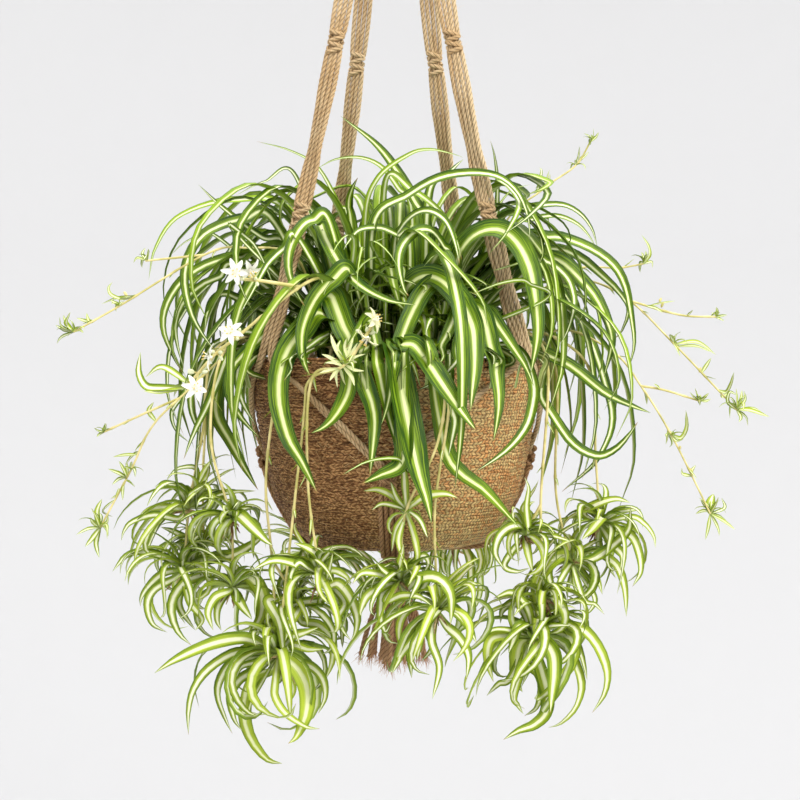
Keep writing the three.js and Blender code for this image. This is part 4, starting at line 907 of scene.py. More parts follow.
# %% Potting soil with crumbs
SOIL_TOP = 24.0
SOIL_CROWN = 17.0
SOIL_GAP = 0.4
SOIL_DROPS = (138, 112, 70, 40, 27)
SOIL_RINGS = 60
SOIL_STEPS = 150
BUMP_PACES = (0.5, 0.8, 1.2, 1.7, 2.4, 3.3)
BUMPS_EACH = 3
BUMP_LENGTH = 4.0
BUMP_HEIGHT = 0.55
CRUMBS = 420
CRUMB_ROUGH = 0.22
PERLITE_SHARE = 0.12
soil_draws = np.random.default_rng(8)
skin = Skin()
soil_edge = liner_radius(SOIL_TOP) - LINER_WALL - SOIL_GAP
radii = np.linspace(soil_edge, 0.6, SOIL_RINGS)
top = [(radius, RIM_Z - mix(SOIL_CROWN, SOIL_TOP, radius / soil_edge)) for radius in radii]
low = [(AXIS_RADIUS, LINER_FLOOR + 1.9), (52, LINER_FLOOR + 1.9)]
low += [(liner_radius(drop) - LINER_WALL - SOIL_GAP, RIM_Z - drop) for drop in SOIL_DROPS]
rings = turned_skin(Skin(), [*low, *top], SOIL_STEPS)
spread = rings[..., :2] / BUMP_LENGTH
bumps = sum(np.sin(spread @ soil_draws.normal(size=2) * pace + 6 * soil_draws.random()) / pace
            for pace in BUMP_PACES for _ in range(BUMPS_EACH))
rings[len(low) + 1:, :, 2] += BUMP_HEIGHT * bumps[len(low) + 1:]
skin.loft(rings, tone=0.2)
for _ in range(CRUMBS):
    radius, azimuth = soil_edge * math.sqrt(soil_draws.random()) * 0.97, soil_draws.uniform(0, 360)
    z = RIM_Z - mix(SOIL_CROWN, SOIL_TOP, radius / soil_edge) + 0.6
    size = soil_draws.uniform(0.8, 2.4)
    share = np.array([-0.9, -0.3, 0.35, 0.9])
    axis = unit(soil_draws.normal(size=3) * (1, 1, 0.4))
    crumb = tube(around(azimuth, radius, z) + size * np.outer(share, axis), size * np.sqrt(1 - share**2), 6)
    crumb += CRUMB_ROUGH * size * soil_draws.normal(size=crumb.shape)
    skin.loft(crumb, tone=1.0 if soil_draws.random() < PERLITE_SHARE else soil_draws.uniform(0, 0.5))
soil = Finish("potting_soil", Roughness=0.95, Specular_IOR_Level=0.2)
crumbly = soil.noise(soil.place(), 420.0, 6.0)
earth_share = soil.step(crumbly + soil.carried("tone") * 0.3, 0.4, 0.8)
earth = soil.mixed(earth_share, shade(34, 24, 17), shade(92, 68, 46))
perlite = soil.mixed(soil.step(soil.carried("tone"), 0.8, 0.9), earth, shade(222, 218, 206))
soil.finished(perlite, height=crumbly, depth=0.0016)
skin.piece("soil_and_crumbs", "potting_soil", soil.material, ["soil"])

# %% [markdown]
# ## A leaf
# A spider plant's leaf is a long, thin, folded strap, drawn out to a point and creased along the middle
# like a shallow gutter. A flat strip with a Solidify modifier would lack the crease, so each leaf is a
# closed ring of points carried along a smooth line, with an upper side, an under side and a thin margin.
# The ring is set up by the leaf's heading: its upper side looks at the plant's middle while the leaf
# stands, and outwards where it hangs.

# %% A folded strap along a line
LARGE = (np.array([-1, -0.8, -0.55, -0.28, 0, 0.28, 0.55, 0.8, 1]), np.array([0.6, 0.2, -0.2, -0.6]))
SMALL = (np.array([-1, -0.52, 0, 0.52, 1]), np.array([0.45, -0.45]))
CLEAR_OF_WALL = 10.0
CLEAR_STARTS = 85.0
RIM_CLEARING = 4.0
CLEAR_SHRINKS = 3.0
COARSE = 9
LEAF_BENDS = 30.0  # millimetres of spacing to one radian of bend
SLIGHT_PUSH = 4.0
FACE_SMOOTHINGS = 3
TIP_SHARE = 0.997
TIP_FOLD = 0.24
GUTTER_DROP = 0.45
RIPPLE = 0.07
RIPPLES = 3.4
MARGIN_THICK = 0.25
THICK_WIDTH = 3.0
CURL_STEPS = 8
CURL_START = 0.06


def kept_outside(points):
    """A point below the rim, further out than 85 mm, stays 10 mm clear of the wall; above the rim the radius
    that it needs shrinks by 3 times its height."""
    x, y, z = np.transpose(points)
    radius = np.hypot(x, y)
    wanted = wall_radius(z) + CLEAR_OF_WALL - CLEAR_SHRINKS * np.maximum(0, z - RIM_Z - RIM_CLEARING)
    free = (z < RIM_Z - BASKET_DEPTH) | (radius < CLEAR_STARTS) | (radius >= wanted)
    scale = np.where(free, 1, wanted / np.maximum(radius, 1))
    return np.stack([x * scale, y * scale, z], 1)


def leaf_line(leaf, steps):
    """The smooth line of a leaf, kept off the basket's wall where it comes more than a little too near."""
    free = curve(leaf["points"], steps, LEAF_BENDS)
    if np.abs(free - kept_outside(free)).max() < SLIGHT_PUSH:
        return free
    coarse = max(COARSE, round(1.7 * len(leaf["points"])))
    return curve(kept_outside(curve(leaf["points"], coarse)), steps, LEAF_BENDS)


def leaf_sides(spine, facing, twist):
    """The face is (heading x up) x along, leant towards the front by facing, and turned by twist times the
    share of the length. Across is along x face."""
    along = unit(np.gradient(spine, axis=0))
    heading = (spine[-1] - spine[0]) * (1, 1, 0)
    face = unit(np.cross(np.cross(unit(heading), UP), along)) + facing * FORWARD
    face -= np.sum(face * along, 1, keepdims=True) * along
    for _ in range(FACE_SMOOTHINGS):
        ends = np.vstack([face[:1], face, face[-1:]])
        face = unit((ends[:-2] + 2 * ends[1:-1] + ends[2:]) / 4)
    face = unit(face - np.sum(face * along, 1, keepdims=True) * along)
    across = np.cross(along, face)
    angle = twist * np.linspace(0, 1, len(spine))[:, None] ** 1.3
    return np.cos(angle) * across + np.sin(angle) * face, np.cos(angle) * face - np.sin(angle) * across


def leaf_skin(skin, leaf, steps, section):
    """Half the width at share s is w (a + (1 - a) sin(min(1, s/f) pi/2)^(1/a - 1)) (1 - s^b), where a is the
    share at the foot, f is where the leaf is full and b how blunt it is. Across it, u goes from -1 to 1, and
    the gutter rises as fold |u|^1.5, with a small wave along the margins."""
    spine = leaf_line(leaf, steps)
    across, face = leaf_sides(spine, leaf.get("facing", 0.0), leaf.get("twist", 0.0))
    reach = length_along(spine)
    length = reach[-1]
    share = TIP_SHARE * reach / length
    foot, full, blunt = leaf.get("foot", 0.45), leaf.get("full", 0.4), leaf.get("blunt", 3)
    growth = np.sin(np.minimum(share / full, 1) * math.pi / 2) ** (1 / foot - 1)
    half = (leaf["width"] / 2 * mix(foot, 1, growth) * (1 - share**blunt))[:, None]
    upper, lower = section
    u = np.concatenate([upper, lower])[None, :]
    under = np.concatenate([0 * upper, 1 + 0 * lower])[None, :]
    fold = mix(leaf.get("fold", 0.6), TIP_FOLD, np.minimum(1, 1.8 * share))[:, None]
    gutter = fold * half * (np.abs(u) ** 1.5 - GUTTER_DROP)
    wave = np.sin(2 * math.pi * (RIPPLES * share[:, None] + leaf["tone"]) + 1.4 * u)
    ripple = RIPPLE * half * wave * np.abs(u)
    thick = (MARGIN_THICK + (1 - MARGIN_THICK) * (1 - u**2)) * np.minimum(1, half / THICK_WIDTH)
    up = gutter + ripple - under * thick
    rings = spine[:, None] + (u * half)[..., None] * across[:, None] + up[..., None] * face[:, None]
    values = {"across": u, "share": share[:, None], "along": length * share[:, None], "under": under}
    skin.loft(rings, tone=leaf["tone"], size=leaf["width"], **values)


def curling(start, azimuth, length, rise, turn, sway):
    """Points at equal steps: at share s the way has the elevation rise - turn s^1.2 and the azimuth
    azimuth + sway s, in degrees."""
    share = np.linspace(CURL_START, 1, CURL_STEPS)
    elevation = np.radians(rise - turn * share**1.2)[:, None]
    steps = np.cos(elevation) * around(azimuth + sway * share, 1, 0) + np.sin(elevation) * UP
    return np.vstack([start, start + length / CURL_STEPS * np.cumsum(steps, axis=0)])


print("a leaf's section has", sum(map(len, LARGE)), "points, and a small leaf's", sum(map(len, SMALL)))

# %% [markdown]
# ## The main tuft
# The leaves that the front view shows are listed one by one. Each is a run of places in the picture with a
# depth for its start and its tip. The rest grow all round by a rule: each leaf turns on from the one before
# by the golden angle, inner ones stand and outer ones arch over the rim. A leaf that would cut through a
# cord of the hanger is swung aside a little. Thin curled leaves and short young ones fill the middle.

# %% Leaves listed one by one: width, the depths of start and tip, then across and down from start to tip
TUFT_LEAVES = [
    # upright and arching leaves at the top
    (13, 20, 30, 426, 232, 414, 200, 396, 170, 375, 144, 341, 117), (5, 30, 25, 348, 222, 339, 205, 318, 168,
    290, 151, 257, 142), (7, 60, 80, 412, 215, 398, 188, 381, 167, 360, 158, 335, 160, 316, 170), (6, 40, 10,
    298, 181, 265, 182, 236, 196), (14, 0, -20, 352, 232, 349, 205, 352, 190, 358, 178), (7, -30, -40, 365,
    225, 377, 180, 409, 155, 430, 150, 451, 154, 463, 158), (10, 20, 60, 428, 200, 445, 178, 456, 166, 463,
    160), (7, 25, 20, 494, 221, 497, 202, 497, 177, 494, 155, 490, 141), (4, 30, 40, 490, 220, 499, 205, 512,
    190, 530, 185), (8, -10, -80, 385, 185, 413, 191, 440, 212, 455, 236, 462, 260), (10, -40, -100, 394,
    250, 401, 228, 415, 214, 430, 211, 445, 220, 454, 239, 460, 264),
    # left side
    (10, -10, -50, 290, 248, 262, 237, 222, 207, 199, 185), (8, 20, -20, 290, 215, 235, 200, 180, 216, 156,
    248, 149, 280), (12, -30, -90, 275, 222, 245, 219, 220, 226, 202, 237, 189, 257, 185, 281, 191, 311, 202,
    333, 218, 354), (12, -30, -60, 262, 262, 240, 257, 220, 260, 200, 268, 180, 283, 166, 307, 164, 330, 173,
    355, 182, 372), (10, -40, -70, 240, 268, 220, 277, 202, 285, 184, 302, 176, 324, 178, 346, 184, 368), (5,
    20, 10, 220, 239, 190, 240, 168, 258), (12, -30, -60, 245, 302, 225, 294, 213, 300, 207, 315, 205, 332),
    (9, -90, -110, 300, 240, 285, 248, 270, 262, 262, 275, 250, 297, 240, 314), (6, -90, -100, 235, 232, 250,
    240, 258, 250, 265, 264, 270, 276, 275, 290),
    # right side
    (11, -50, -90, 373, 226, 409, 195, 440, 178, 472, 173, 499, 177, 518, 193, 528, 217, 530, 240), (10, 20,
    10, 495, 227, 518, 212, 537, 206, 562, 205, 580, 214, 592, 230, 597, 248), (8, 10, 0, 512, 233, 531, 220,
    556, 216, 577, 224, 590, 238, 596, 250), (13, -10, -10, 518, 246, 550, 237, 570, 240, 595, 251, 614, 266,
    625, 286, 631, 315, 634, 345, 628, 370), (12, 0, 0, 525, 256, 535, 252, 559, 249, 582, 259, 601, 275,
    616, 289, 628, 308, 622, 330, 613, 340), (17, -30, -50, 530, 264, 545, 257, 562, 262, 580, 279, 595, 296,
    607, 320, 612, 343, 604, 377), (10, -40, -70, 530, 268, 548, 262, 566, 276, 573, 292, 574, 308, 568, 330,
    560, 345),
    # front, arching over the rim
    (13, -80, -115, 331, 224, 314, 220, 302, 227, 291, 247, 289, 268, 295, 289, 305, 306), (14, -60, -120,
    322, 232, 327, 240, 339, 262, 360, 285, 388, 300, 416, 305), (17, -88, -130, 352, 272, 333, 280, 316,
    298, 304, 325, 302, 348, 305, 364, 311, 377), (11, -40, -75, 410, 240, 398, 235, 381, 228, 360, 230, 348,
    243, 344, 250), (20, -78, -140, 318, 300, 328, 292, 336, 306, 343, 325, 353, 346, 365, 368, 371, 390,
    375, 412, 374, 440, 370, 478), (21, -60, -118, 456, 262, 462, 247, 473, 235, 488, 229, 504, 231, 519,
    245, 530, 268, 536, 300, 538, 335, 531, 374), (22, -70, -142, 404, 296, 412, 281, 425, 275, 440, 279,
    454, 292, 465, 308, 473, 327, 475, 346, 475, 368, 473, 389, 471, 411), (12, -60, -122, 450, 262, 444,
    246, 432, 231, 417, 231, 403, 245, 399, 264, 404, 288, 409, 296), (16, -75, -142, 452, 296, 445, 282,
    434, 282, 424, 291, 413, 311, 404, 333, 397, 355, 392, 385, 388, 405, 382, 424), (13, -85, -122, 470,
    330, 466, 312, 458, 312, 449, 331, 441, 347, 432, 368), (18, -80, -138, 462, 318, 470, 306, 480, 309,
    486, 324, 491, 346, 496, 368, 499, 389, 499, 411, 494, 441), (16, -78, -128, 478, 318, 486, 310, 494,
    319, 506, 336, 518, 354, 527, 368, 534, 386), (9, -95, -132, 474, 345, 468, 330, 461, 332, 456, 347, 449,
    362, 436, 380, 416, 391), (26, -130, -152, 391, 346, 397, 360, 401, 378, 405, 400, 409, 421, 413, 441,
    417, 461, 422, 482, 428, 502, 432, 523), (21, -128, -160, 400, 344, 413, 344, 425, 357, 438, 376, 453,
    398, 464, 414, 477, 431), (13, -115, -138, 366, 322, 371, 320, 376, 342, 381, 368, 384, 389, 388, 411,
    393, 430, 403, 459), (20, -120, -140, 372, 345, 362, 350, 355, 368, 351, 384, 345, 400, 337, 414, 326,
    426, 312, 433), (20, -97, -136, 322, 312, 303, 330, 288, 350, 280, 375, 279, 398, 283, 420, 290, 441,
    302, 461, 318, 494), (7, -85, -120, 332, 333, 311, 345, 297, 362, 284, 381), (6, -118, -136, 396, 352,
    403, 350, 412, 364, 421, 388), (22, -140, -146, 404, 440, 406, 455, 400, 466, 383, 474, 362, 484), (5,
    -140, -146, 410, 470, 403, 460, 375, 459, 341, 476), (10, -128, -142, 448, 400, 455, 412, 454, 430, 449,
    456), (6, -110, -118, 545, 300, 530, 284, 520, 280, 498, 284, 473, 294),
    # low on the right and the left
    (19, -138, -120, 430, 345, 436, 395, 444, 440, 450, 460, 465, 476, 485, 490, 501, 507, 520, 528), (10,
    -100, -134, 520, 350, 534, 385, 532, 410, 524, 431, 504, 453, 477, 471), (15, -60, -60, 520, 338, 542,
    352, 570, 365, 604, 392, 628, 404, 651, 413), (12, -60, -60, 530, 372, 538, 390, 553, 415, 572, 442, 597,
    456, 620, 446, 638, 422), (11, 10, -20, 560, 300, 610, 400, 600, 455, 562, 492), (14, -40, -60, 245, 330,
    215, 400, 235, 450, 258, 490), (13, -60, -95, 285, 322, 266, 334, 248, 350, 234, 365, 228, 384, 232, 402,
    244, 421, 260, 438), (8, -60, -90, 262, 345, 243, 358, 238, 373, 239, 389, 245, 407, 256, 425), (7, -30,
    -50, 220, 340, 190, 385, 172, 412, 176, 430, 190, 443), (8, -50, -70, 225, 352, 203, 372, 190, 400, 197,
    426, 203, 446), (10, -60, -90, 245, 330, 228, 355, 220, 376, 206, 409, 194, 433, 184, 459),
]
print(len(TUFT_LEAVES), "leaves of the tuft by hand")

# %% Leaves by a rule
CROWN_TOP_Z = -578.0
ROOT_SPREAD = 44.0
ROOT_RISE = 34.0
ROOT_Z = CROWN_TOP_Z - 9
EDGE_SPREAD = 94.0
EDGE_RISE = 32.0
LOW_START = -530.0
RULE_LEAVES = 165
HEART_CURLS = 34
INNER_LEAVES = 26
RULE_DRAWS = 7
TUFT_SEED = 5
ARM_MARGIN = 13
FIRST_LEAVES = 12
FRONT_RIM = 42
LEAN = 1.4
BAND_WIDE = 9.5
BAND_DEEP = 6.5
BAND_STEPS = 90
HAND_STEPS = 40
RULE_STEPS = 24
CURL_LEAF_STEPS = 18
INNER_STEPS = 14
CURL_BOX = ((-52, 40), (22, 80), (-548, -505))  # across, to the front, and heights
RULE_LINE = [(0, 0, 0), (0.22, 0.72, 0), (0.58, 1, 0), (0.93, 1, 0.3), (1.03, 1, 0.72), (0.95, 1, 1)]
RULE_SWAYS = (0, 0, 0.2, 0.5, 0.85, 1)
# shortest and longest reach, lowest and highest arch, least and most fall, and the sway, of the inner,
# middle and outer leaves, and of those that arch over the front rim
RULE_SHAPES = [
    (90, 150, 110, 180, 10, 90, 150),
    (130, 195, 110, 178, 100, 220, 40),
    (135, 205, 70, 140, 90, 225, 40),
    (60, 112, 40, 100, 0, 60, 90),
]
BENDS = (0, 5, -5, 10, -10, 15, -15, 20, -20)


def seeded(seed):
    """Numbers from 0 to 1: the state is multiplied by 1664525, 1013904223 is added, modulo 2 to the 32."""
    state = seed
    while True:
        state = (state * 1664525 + 1013904223) % 2**32
        yield state / 2**32


def tuft_leaf(entry, tone, bend):
    width, near, far, *run = entry
    places = np.reshape(run, (-1, 2))
    depths = np.linspace(near, far, len(places)) + bend
    points = [seen(*place, depth) for place, depth in zip(places, depths)]
    low = points[0][2] < LOW_START
    out = points[0] * (1, 1, 0)
    spread, rise = (EDGE_SPREAD, EDGE_RISE) if low else (ROOT_SPREAD, ROOT_RISE)
    root = out * min(0.75, spread / np.linalg.norm(out)) + ROOT_Z * UP
    risen = root * (1.2, 1.2, 0) + (ROOT_Z + rise) * UP
    leaf = {"points": [root, risen, *points], "width": width, "facing": LEAN, "tone": tone}
    return leaf | ({"blunt": 5, "full": 0.62, "foot": 0.3} if low else {"blunt": 5})


def clear_of_arms(azimuth):
    turned = (azimuth + 540) % 360 - 180
    for arm in (-FRONT_ARM, FRONT_ARM, -BACK_ARM, BACK_ARM):
        off = turned - arm
        if abs(off) < ARM_MARGIN:
            turned = arm + (-ARM_MARGIN if off < 0 else ARM_MARGIN)
    return turned


def rule_leaf(index, draws, tone, bend):
    """Leaf number index. Its line passes six places, each with its shares of the reach, of the height that
    it arches to, and of the fall below that, and it sways aside towards its tip."""
    azimuth = clear_of_arms(index * GOLDEN_ANGLE + 8 * draws[0] + bend)
    kind = index % 3 if abs(azimuth) > FRONT_RIM or index < FIRST_LEAVES else 3
    low, high, low_height, high_height, low_fall, high_fall, swing = RULE_SHAPES[kind]
    reach = mix(low, high, draws[1])
    height = mix(low_height, high_height, draws[2])
    fall = mix(low_fall, high_fall, draws[3])
    sway = swing * (draws[4] - 0.5)
    start = mix(12, ROOT_SPREAD - 3, (reach - 60) / 145) + 6 * (draws[6] - 0.5)
    points = [
        around(azimuth + turn * sway, mix(start, reach, far), ROOT_Z + up * height - down * fall)
        for (far, up, down), turn in zip(RULE_LINE, RULE_SWAYS)
    ]
    width, twist = mix(9, 16, draws[5]), draws[4] - 0.5
    return {"points": points, "width": width, "tone": tone, "twist": twist, "blunt": 4}


def through_arms(leaf):
    """How many of a leaf's points lie inside the flat bands that the arms' cords fill."""
    line = leaf_line(leaf, BAND_STEPS)
    across, _ = leaf_sides(line, leaf.get("facing", 0.0), 0.0)
    aside = leaf["width"] * np.array([-0.4, 0, 0.4])[:, None]
    points = (line[:, None] + across[:, None] * aside).reshape(-1, 3)
    count = 0
    for azimuth, *_ in ARMS.values():
        apart = np.abs(points - arm_point(azimuth, points[:, 2]))
        band = (apart[:, 0] < BAND_WIDE) & (apart[:, 1] < BAND_DEEP) & (points[:, 2] > RIM_Z)
        count += int(band.sum())
    return count


def swung_clear(make):
    """The first bend that keeps a leaf out of the cords, or the one that touches them least."""
    tried = []
    for bend in BENDS:
        leaf = make(bend)
        hits = through_arms(leaf)
        if hits == 0:
            return leaf
        tried.append((hits, bend))
    return make(min(tried)[1])


skin = Skin()
tone_draws = np.random.default_rng(21)
for entry in TUFT_LEAVES:
    tone = tone_draws.uniform(0.0, 0.45) if entry[0] > 8 else tone_draws.uniform(0.3, 0.9)
    leaf_skin(skin, swung_clear(lambda bend: tuft_leaf(entry, tone, bend)), HAND_STEPS, LARGE)
draw = seeded(TUFT_SEED)
for index in range(RULE_LEAVES):
    draws = [next(draw) for _ in range(RULE_DRAWS)]
    tone = tone_draws.uniform(0.1, 1.0)
    leaf_skin(skin, swung_clear(lambda bend: rule_leaf(index, draws, tone, bend)), RULE_STEPS, LARGE)
print(RULE_LEAVES, "leaves of the tuft by the rule")

# %% Curled leaves and short young ones in the tuft's middle
for _ in range(HEART_CURLS):
    across, front, height = (tone_draws.uniform(*span) for span in CURL_BOX)
    start = np.array([across, -front, height])
    root = start * (0.6, 0.6, 0) + ROOT_Z * UP
    turn, sway = tone_draws.uniform(130, 270), tone_draws.uniform(-170, 170)
    curl = curling(start, tone_draws.uniform(0, 360), tone_draws.uniform(70, 130), 85, turn, sway)
    width, tone = tone_draws.uniform(4.5, 7.5), tone_draws.uniform(0.6, 1.25)
    leaf = {"points": [root, *curl], "width": width, "tone": tone, "fold": 0.9}
    leaf_skin(skin, leaf, CURL_LEAF_STEPS, SMALL)
for _ in range(INNER_LEAVES):
    root = around(tone_draws.uniform(-75, 75), tone_draws.uniform(12, 66), ROOT_Z)
    turn, sway = tone_draws.uniform(60, 130), tone_draws.uniform(-60, 60)
    stand = curling(root, tone_draws.uniform(-110, 110), tone_draws.uniform(80, 135), 88, turn, sway)
    width, tone = tone_draws.uniform(10, 15), tone_draws.uniform(0.0, 0.5)
    leaf_skin(skin, {"points": stand, "width": width, "tone": tone, "blunt": 4}, INNER_STEPS, SMALL)
print(HEART_CURLS, "curled leaves and", INNER_LEAVES, "young ones")

# %% [markdown]
# The leaf's finish is its drawing: a cream stripe down the middle, soft at its edges, between dark green
# margins, all of it broken into fine lines along the leaf. The lines come from a noise that is stretched
# along the leaf and read across it. Thin leaves have a broader and brighter stripe for their width, young
# leaves are lighter and yellower, the foot of every leaf is pale, and some tips are dry.

# %% Striped leaf
THIN_WIDTHS = (8.0, 16.0)
PALEST_CREAM = shade(252, 253, 226)
PALE_LEAF = shade(238, 240, 186)
PALE_FOOT = shade(196, 212, 132)
UNDER_SIDE = shade(150, 178, 96)
DRY_TIP = shade(168, 128, 74)


def leaf_finish(name, dark, light, cream, stripe, edge):
    """The stripe is full up to one share of the half width, and gone at the edge's share. Each layer covers
    the ones before it by its own share: light veins, dark lines, the margins, the strip beside the stripe,
    the stripe, the palest leaves, the foot, the under side and the dry tips."""
    finish = Finish(name, Specular_IOR_Level=0.26)
    side = finish.carried("across")
    share = finish.carried("share")
    tone = finish.carried("tone")
    along = finish.carried("along")
    thin = 1 - finish.step(finish.carried("size"), *THIN_WIDTHS)
    lines = finish.noise(finish.at(side * 4.2, along * 0.012, tone * 60), 1.5, 3.0)
    veins = finish.noise(finish.at(side * 8.0, along * 0.02, tone * 31), 1.7, 2.0)
    blotch = finish.noise(finish.place(), 26.0, 2.0)
    off = abs(side) + (lines - 0.5) * 0.3 - thin * 0.1
    young = finish.step(tone + (blotch - 0.5) * 0.5, 0.25, 0.95)
    striped = 1 - finish.step(off, stripe, edge)
    beside = 1 - finish.step(off, edge * 0.8, edge * 1.9)
    dry = finish.step(share, 0.965, 0.995) * finish.step((tone * 7).math("FRACT"), 0.55, 0.6)
    layers = [
        (finish.step(veins, 0.46, 0.62) * 0.6, light),
        ((1 - finish.step(lines, 0.36, 0.5)) * 0.5, dark),
        (finish.step(abs(side), 0.7, 0.95) * 0.6, dark),
        (beside * 0.55, light),
        (striped * (1 - young * 0.25), finish.mixed(thin * 0.7, cream, PALEST_CREAM)),
        (finish.step(tone, 1.1, 1.6) * 0.8, PALE_LEAF),
        ((1 - finish.step(share, 0.02, 0.22)) * 0.6, PALE_FOOT),
        (finish.carried("under") * 0.3, UNDER_SIDE),
        (dry, DRY_TIP),
    ]
    colour = finish.mixed(young, dark, light)
    for layer_share, over in layers:
        colour = finish.mixed(layer_share, colour, over)
    rough = finish.step(veins, 0.3, 0.7, 0.36, 0.5)
    return finish.finished(colour, roughness=rough, height=veins, depth=0.00035)


leaf_greens = (shade(42, 76, 0), shade(150, 182, 26), shade(238, 244, 176))
striped_leaf = leaf_finish("striped_leaf", *leaf_greens, stripe=0.05, edge=0.29)
skin.piece("tuft_leaves", "striped_leaf", striped_leaf, ["leaf_tuft"])

# %% [markdown]
# ## Runners and plantlets
# Long straw-coloured runners hang from the tuft and carry young plants. A plantlet has twenty or more narrow
# leaves that stand out from its heart and curl over, the outer ones first, and a few stubby roots. Each
# group of the frame is listed: the peg where it enters the soil, its stems, branches, plantlets and
# the few leaves that stand out in the picture.

# %% The trailing groups at the left and the front
# A stem or a branch runs through places of across, down and depth, one after the other. A plantlet is
# across, down, depth, size and blade width. A sprig or a traced leaf is its width, then across and down.
GROUPS = {}
GROUPS["trailing_left"] = {
    "peg": (-80, -34),
    "stems": [
        (262, 334, -50, 214, 352, -66, 203, 430, -72, 189, 508, -62, 184, 569, -60), (258, 336, -48, 222,
        356, -84, 211, 440, -92, 231, 520, -86, 232, 586, -76), (266, 336, -40, 216, 366, -44, 204, 450, -44,
        203, 547, -38),
    ],
    "plantlets": [
        (188, 508, -62, 56, 7), (232, 520, -86, 40, 7), (203, 548, -38, 42, 6), (184, 570, -60, 58, 7), (232,
        588, -76, 48, 7),
    ],
    "traced": [
        (7, 180, 509, 163, 507, 148, 510, 139, 516), (7, 178, 519, 154, 515, 132, 522, 124, 531, 121, 541),
        (5, 197, 471, 180, 468, 169, 477, 167, 483), (8, 183, 496, 176, 487, 165, 483, 155, 487), (6, 187,
        498, 193, 492, 205, 485), (5, 202, 507, 217, 496, 234, 492, 256, 491), (8, 195, 557, 191, 544, 176,
        533, 160, 527), (8, 178, 566, 163, 557, 143, 552, 126, 556, 112, 572), (8, 182, 574, 163, 574, 148,
        587, 141, 598, 140, 607), (8, 174, 579, 154, 590, 147, 605, 152, 624, 167, 633), (9, 204, 574, 187,
        581, 174, 596, 171, 613, 178, 633, 191, 646), (12, 202, 561, 217, 558, 239, 553, 269, 532), (13, 230,
        587, 239, 577, 252, 579, 262, 596, 260, 618, 247, 637), (8, 228, 592, 215, 598, 208, 613, 213, 631),
        (7, 230, 592, 219, 605, 217, 620, 221, 631), (9, 232, 592, 241, 605, 252, 620), (8, 234, 511, 228,
        520, 224, 537), (11, 239, 515, 252, 527, 265, 540, 273, 546), (7, 187, 592, 191, 605, 202, 620, 195,
        631), (6, 180, 592, 180, 609, 195, 631),
    ],
}
GROUPS["trailing_front"] = {
    "peg": (-34, -80),
    "stems": [
        (375, 322, -120, 345, 365, -142, 310, 380, -128, 303, 430, -120, 278, 652, -92), (375, 322, -120,
        345, 365, -142, 312, 380, -130, 308, 480, -116, 320, 575, -100), (302, 340, -86, 289, 364, -103, 277,
        392, -100, 266, 480, -96, 272, 560, -88, 277, 648, -92),
    ],
    "branches": [(272, 560, -88, 300, 605, -78)],
    "sprig_tone": 1.5,
    "sprigs": [
        (4, 340, 359, 335, 346, 331, 334), (3.6, 341, 365, 331, 358, 322, 354), (3, 339, 367, 330, 370, 320,
        373), (3, 339, 368, 334, 375, 330, 381), (3.6, 342, 371, 343, 378, 346, 385), (3.6, 350, 363, 360,
        361, 370, 361), (3, 345, 358, 345, 348, 347, 338), (3, 343, 362, 352, 353, 358, 343), (3, 345, 366,
        355, 370, 365, 371), (3, 342, 364, 334, 363, 325, 363), (3, 346, 368, 352, 377, 355, 386), (2.6, 345,
        365, 338, 349, 341, 340), (2.6, 345, 365, 356, 357, 366, 354), (2.6, 345, 365, 337, 373, 338, 388),
        (2.6, 345, 365, 351, 346, 354, 337),
    ],
    "plantlets": [
        (345, 365, -142, 20, 4), (320, 575, -100, 56, 8), (300, 605, -78, 42, 7), (278, 655, -92, 74, 10),
    ],
    "traced": [
        (12, 252, 641, 230, 640, 202, 648, 174, 661, 154, 674), (9, 256, 654, 234, 654, 208, 670, 193, 691,
        188, 713, 188, 736), (9, 250, 659, 230, 665, 219, 683, 218, 700, 226, 722, 232, 735), (7, 256, 663,
        241, 668, 235, 681), (9, 258, 670, 239, 681, 230, 698, 234, 720, 242, 732), (14, 273, 670, 256, 676,
        246, 694, 244, 720, 252, 743, 267, 761, 282, 765), (14, 286, 659, 299, 672, 307, 691, 306, 715, 297,
        737, 288, 745), (9, 295, 663, 312, 668, 323, 681, 325, 698, 318, 715), (9, 301, 622, 319, 626, 332,
        641, 332, 663, 325, 681), (9, 269, 600, 278, 620, 282, 639, 284, 663), (7, 275, 613, 260, 628, 253,
        646, 258, 665), (9, 291, 639, 306, 633, 319, 628), (8, 293, 646, 308, 650, 324, 650), (7, 275, 683,
        275, 698, 286, 715, 306, 728, 320, 730), (4, 250, 706, 256, 715, 269, 715), (9, 284, 670, 293, 689,
        288, 706), (9, 318, 557, 309, 549, 294, 543), (7, 319, 566, 329, 553, 333, 546), (4, 321, 553, 343,
        547, 359, 553, 368, 567), (8, 293, 564, 273, 561, 253, 570), (6, 309, 569, 299, 563, 291, 576, 293,
        594), (7, 326, 579, 331, 564, 333, 553), (7, 334, 571, 346, 577, 351, 586), (10, 326, 587, 338, 584,
        349, 596, 357, 616, 356, 632, 351, 642), (7, 344, 601, 339, 617, 343, 631, 351, 641), (9, 321, 601,
        299, 604, 275, 616), (8, 298, 611, 291, 624, 285, 642),
    ],
}
print(len(GROUPS), "groups so far")

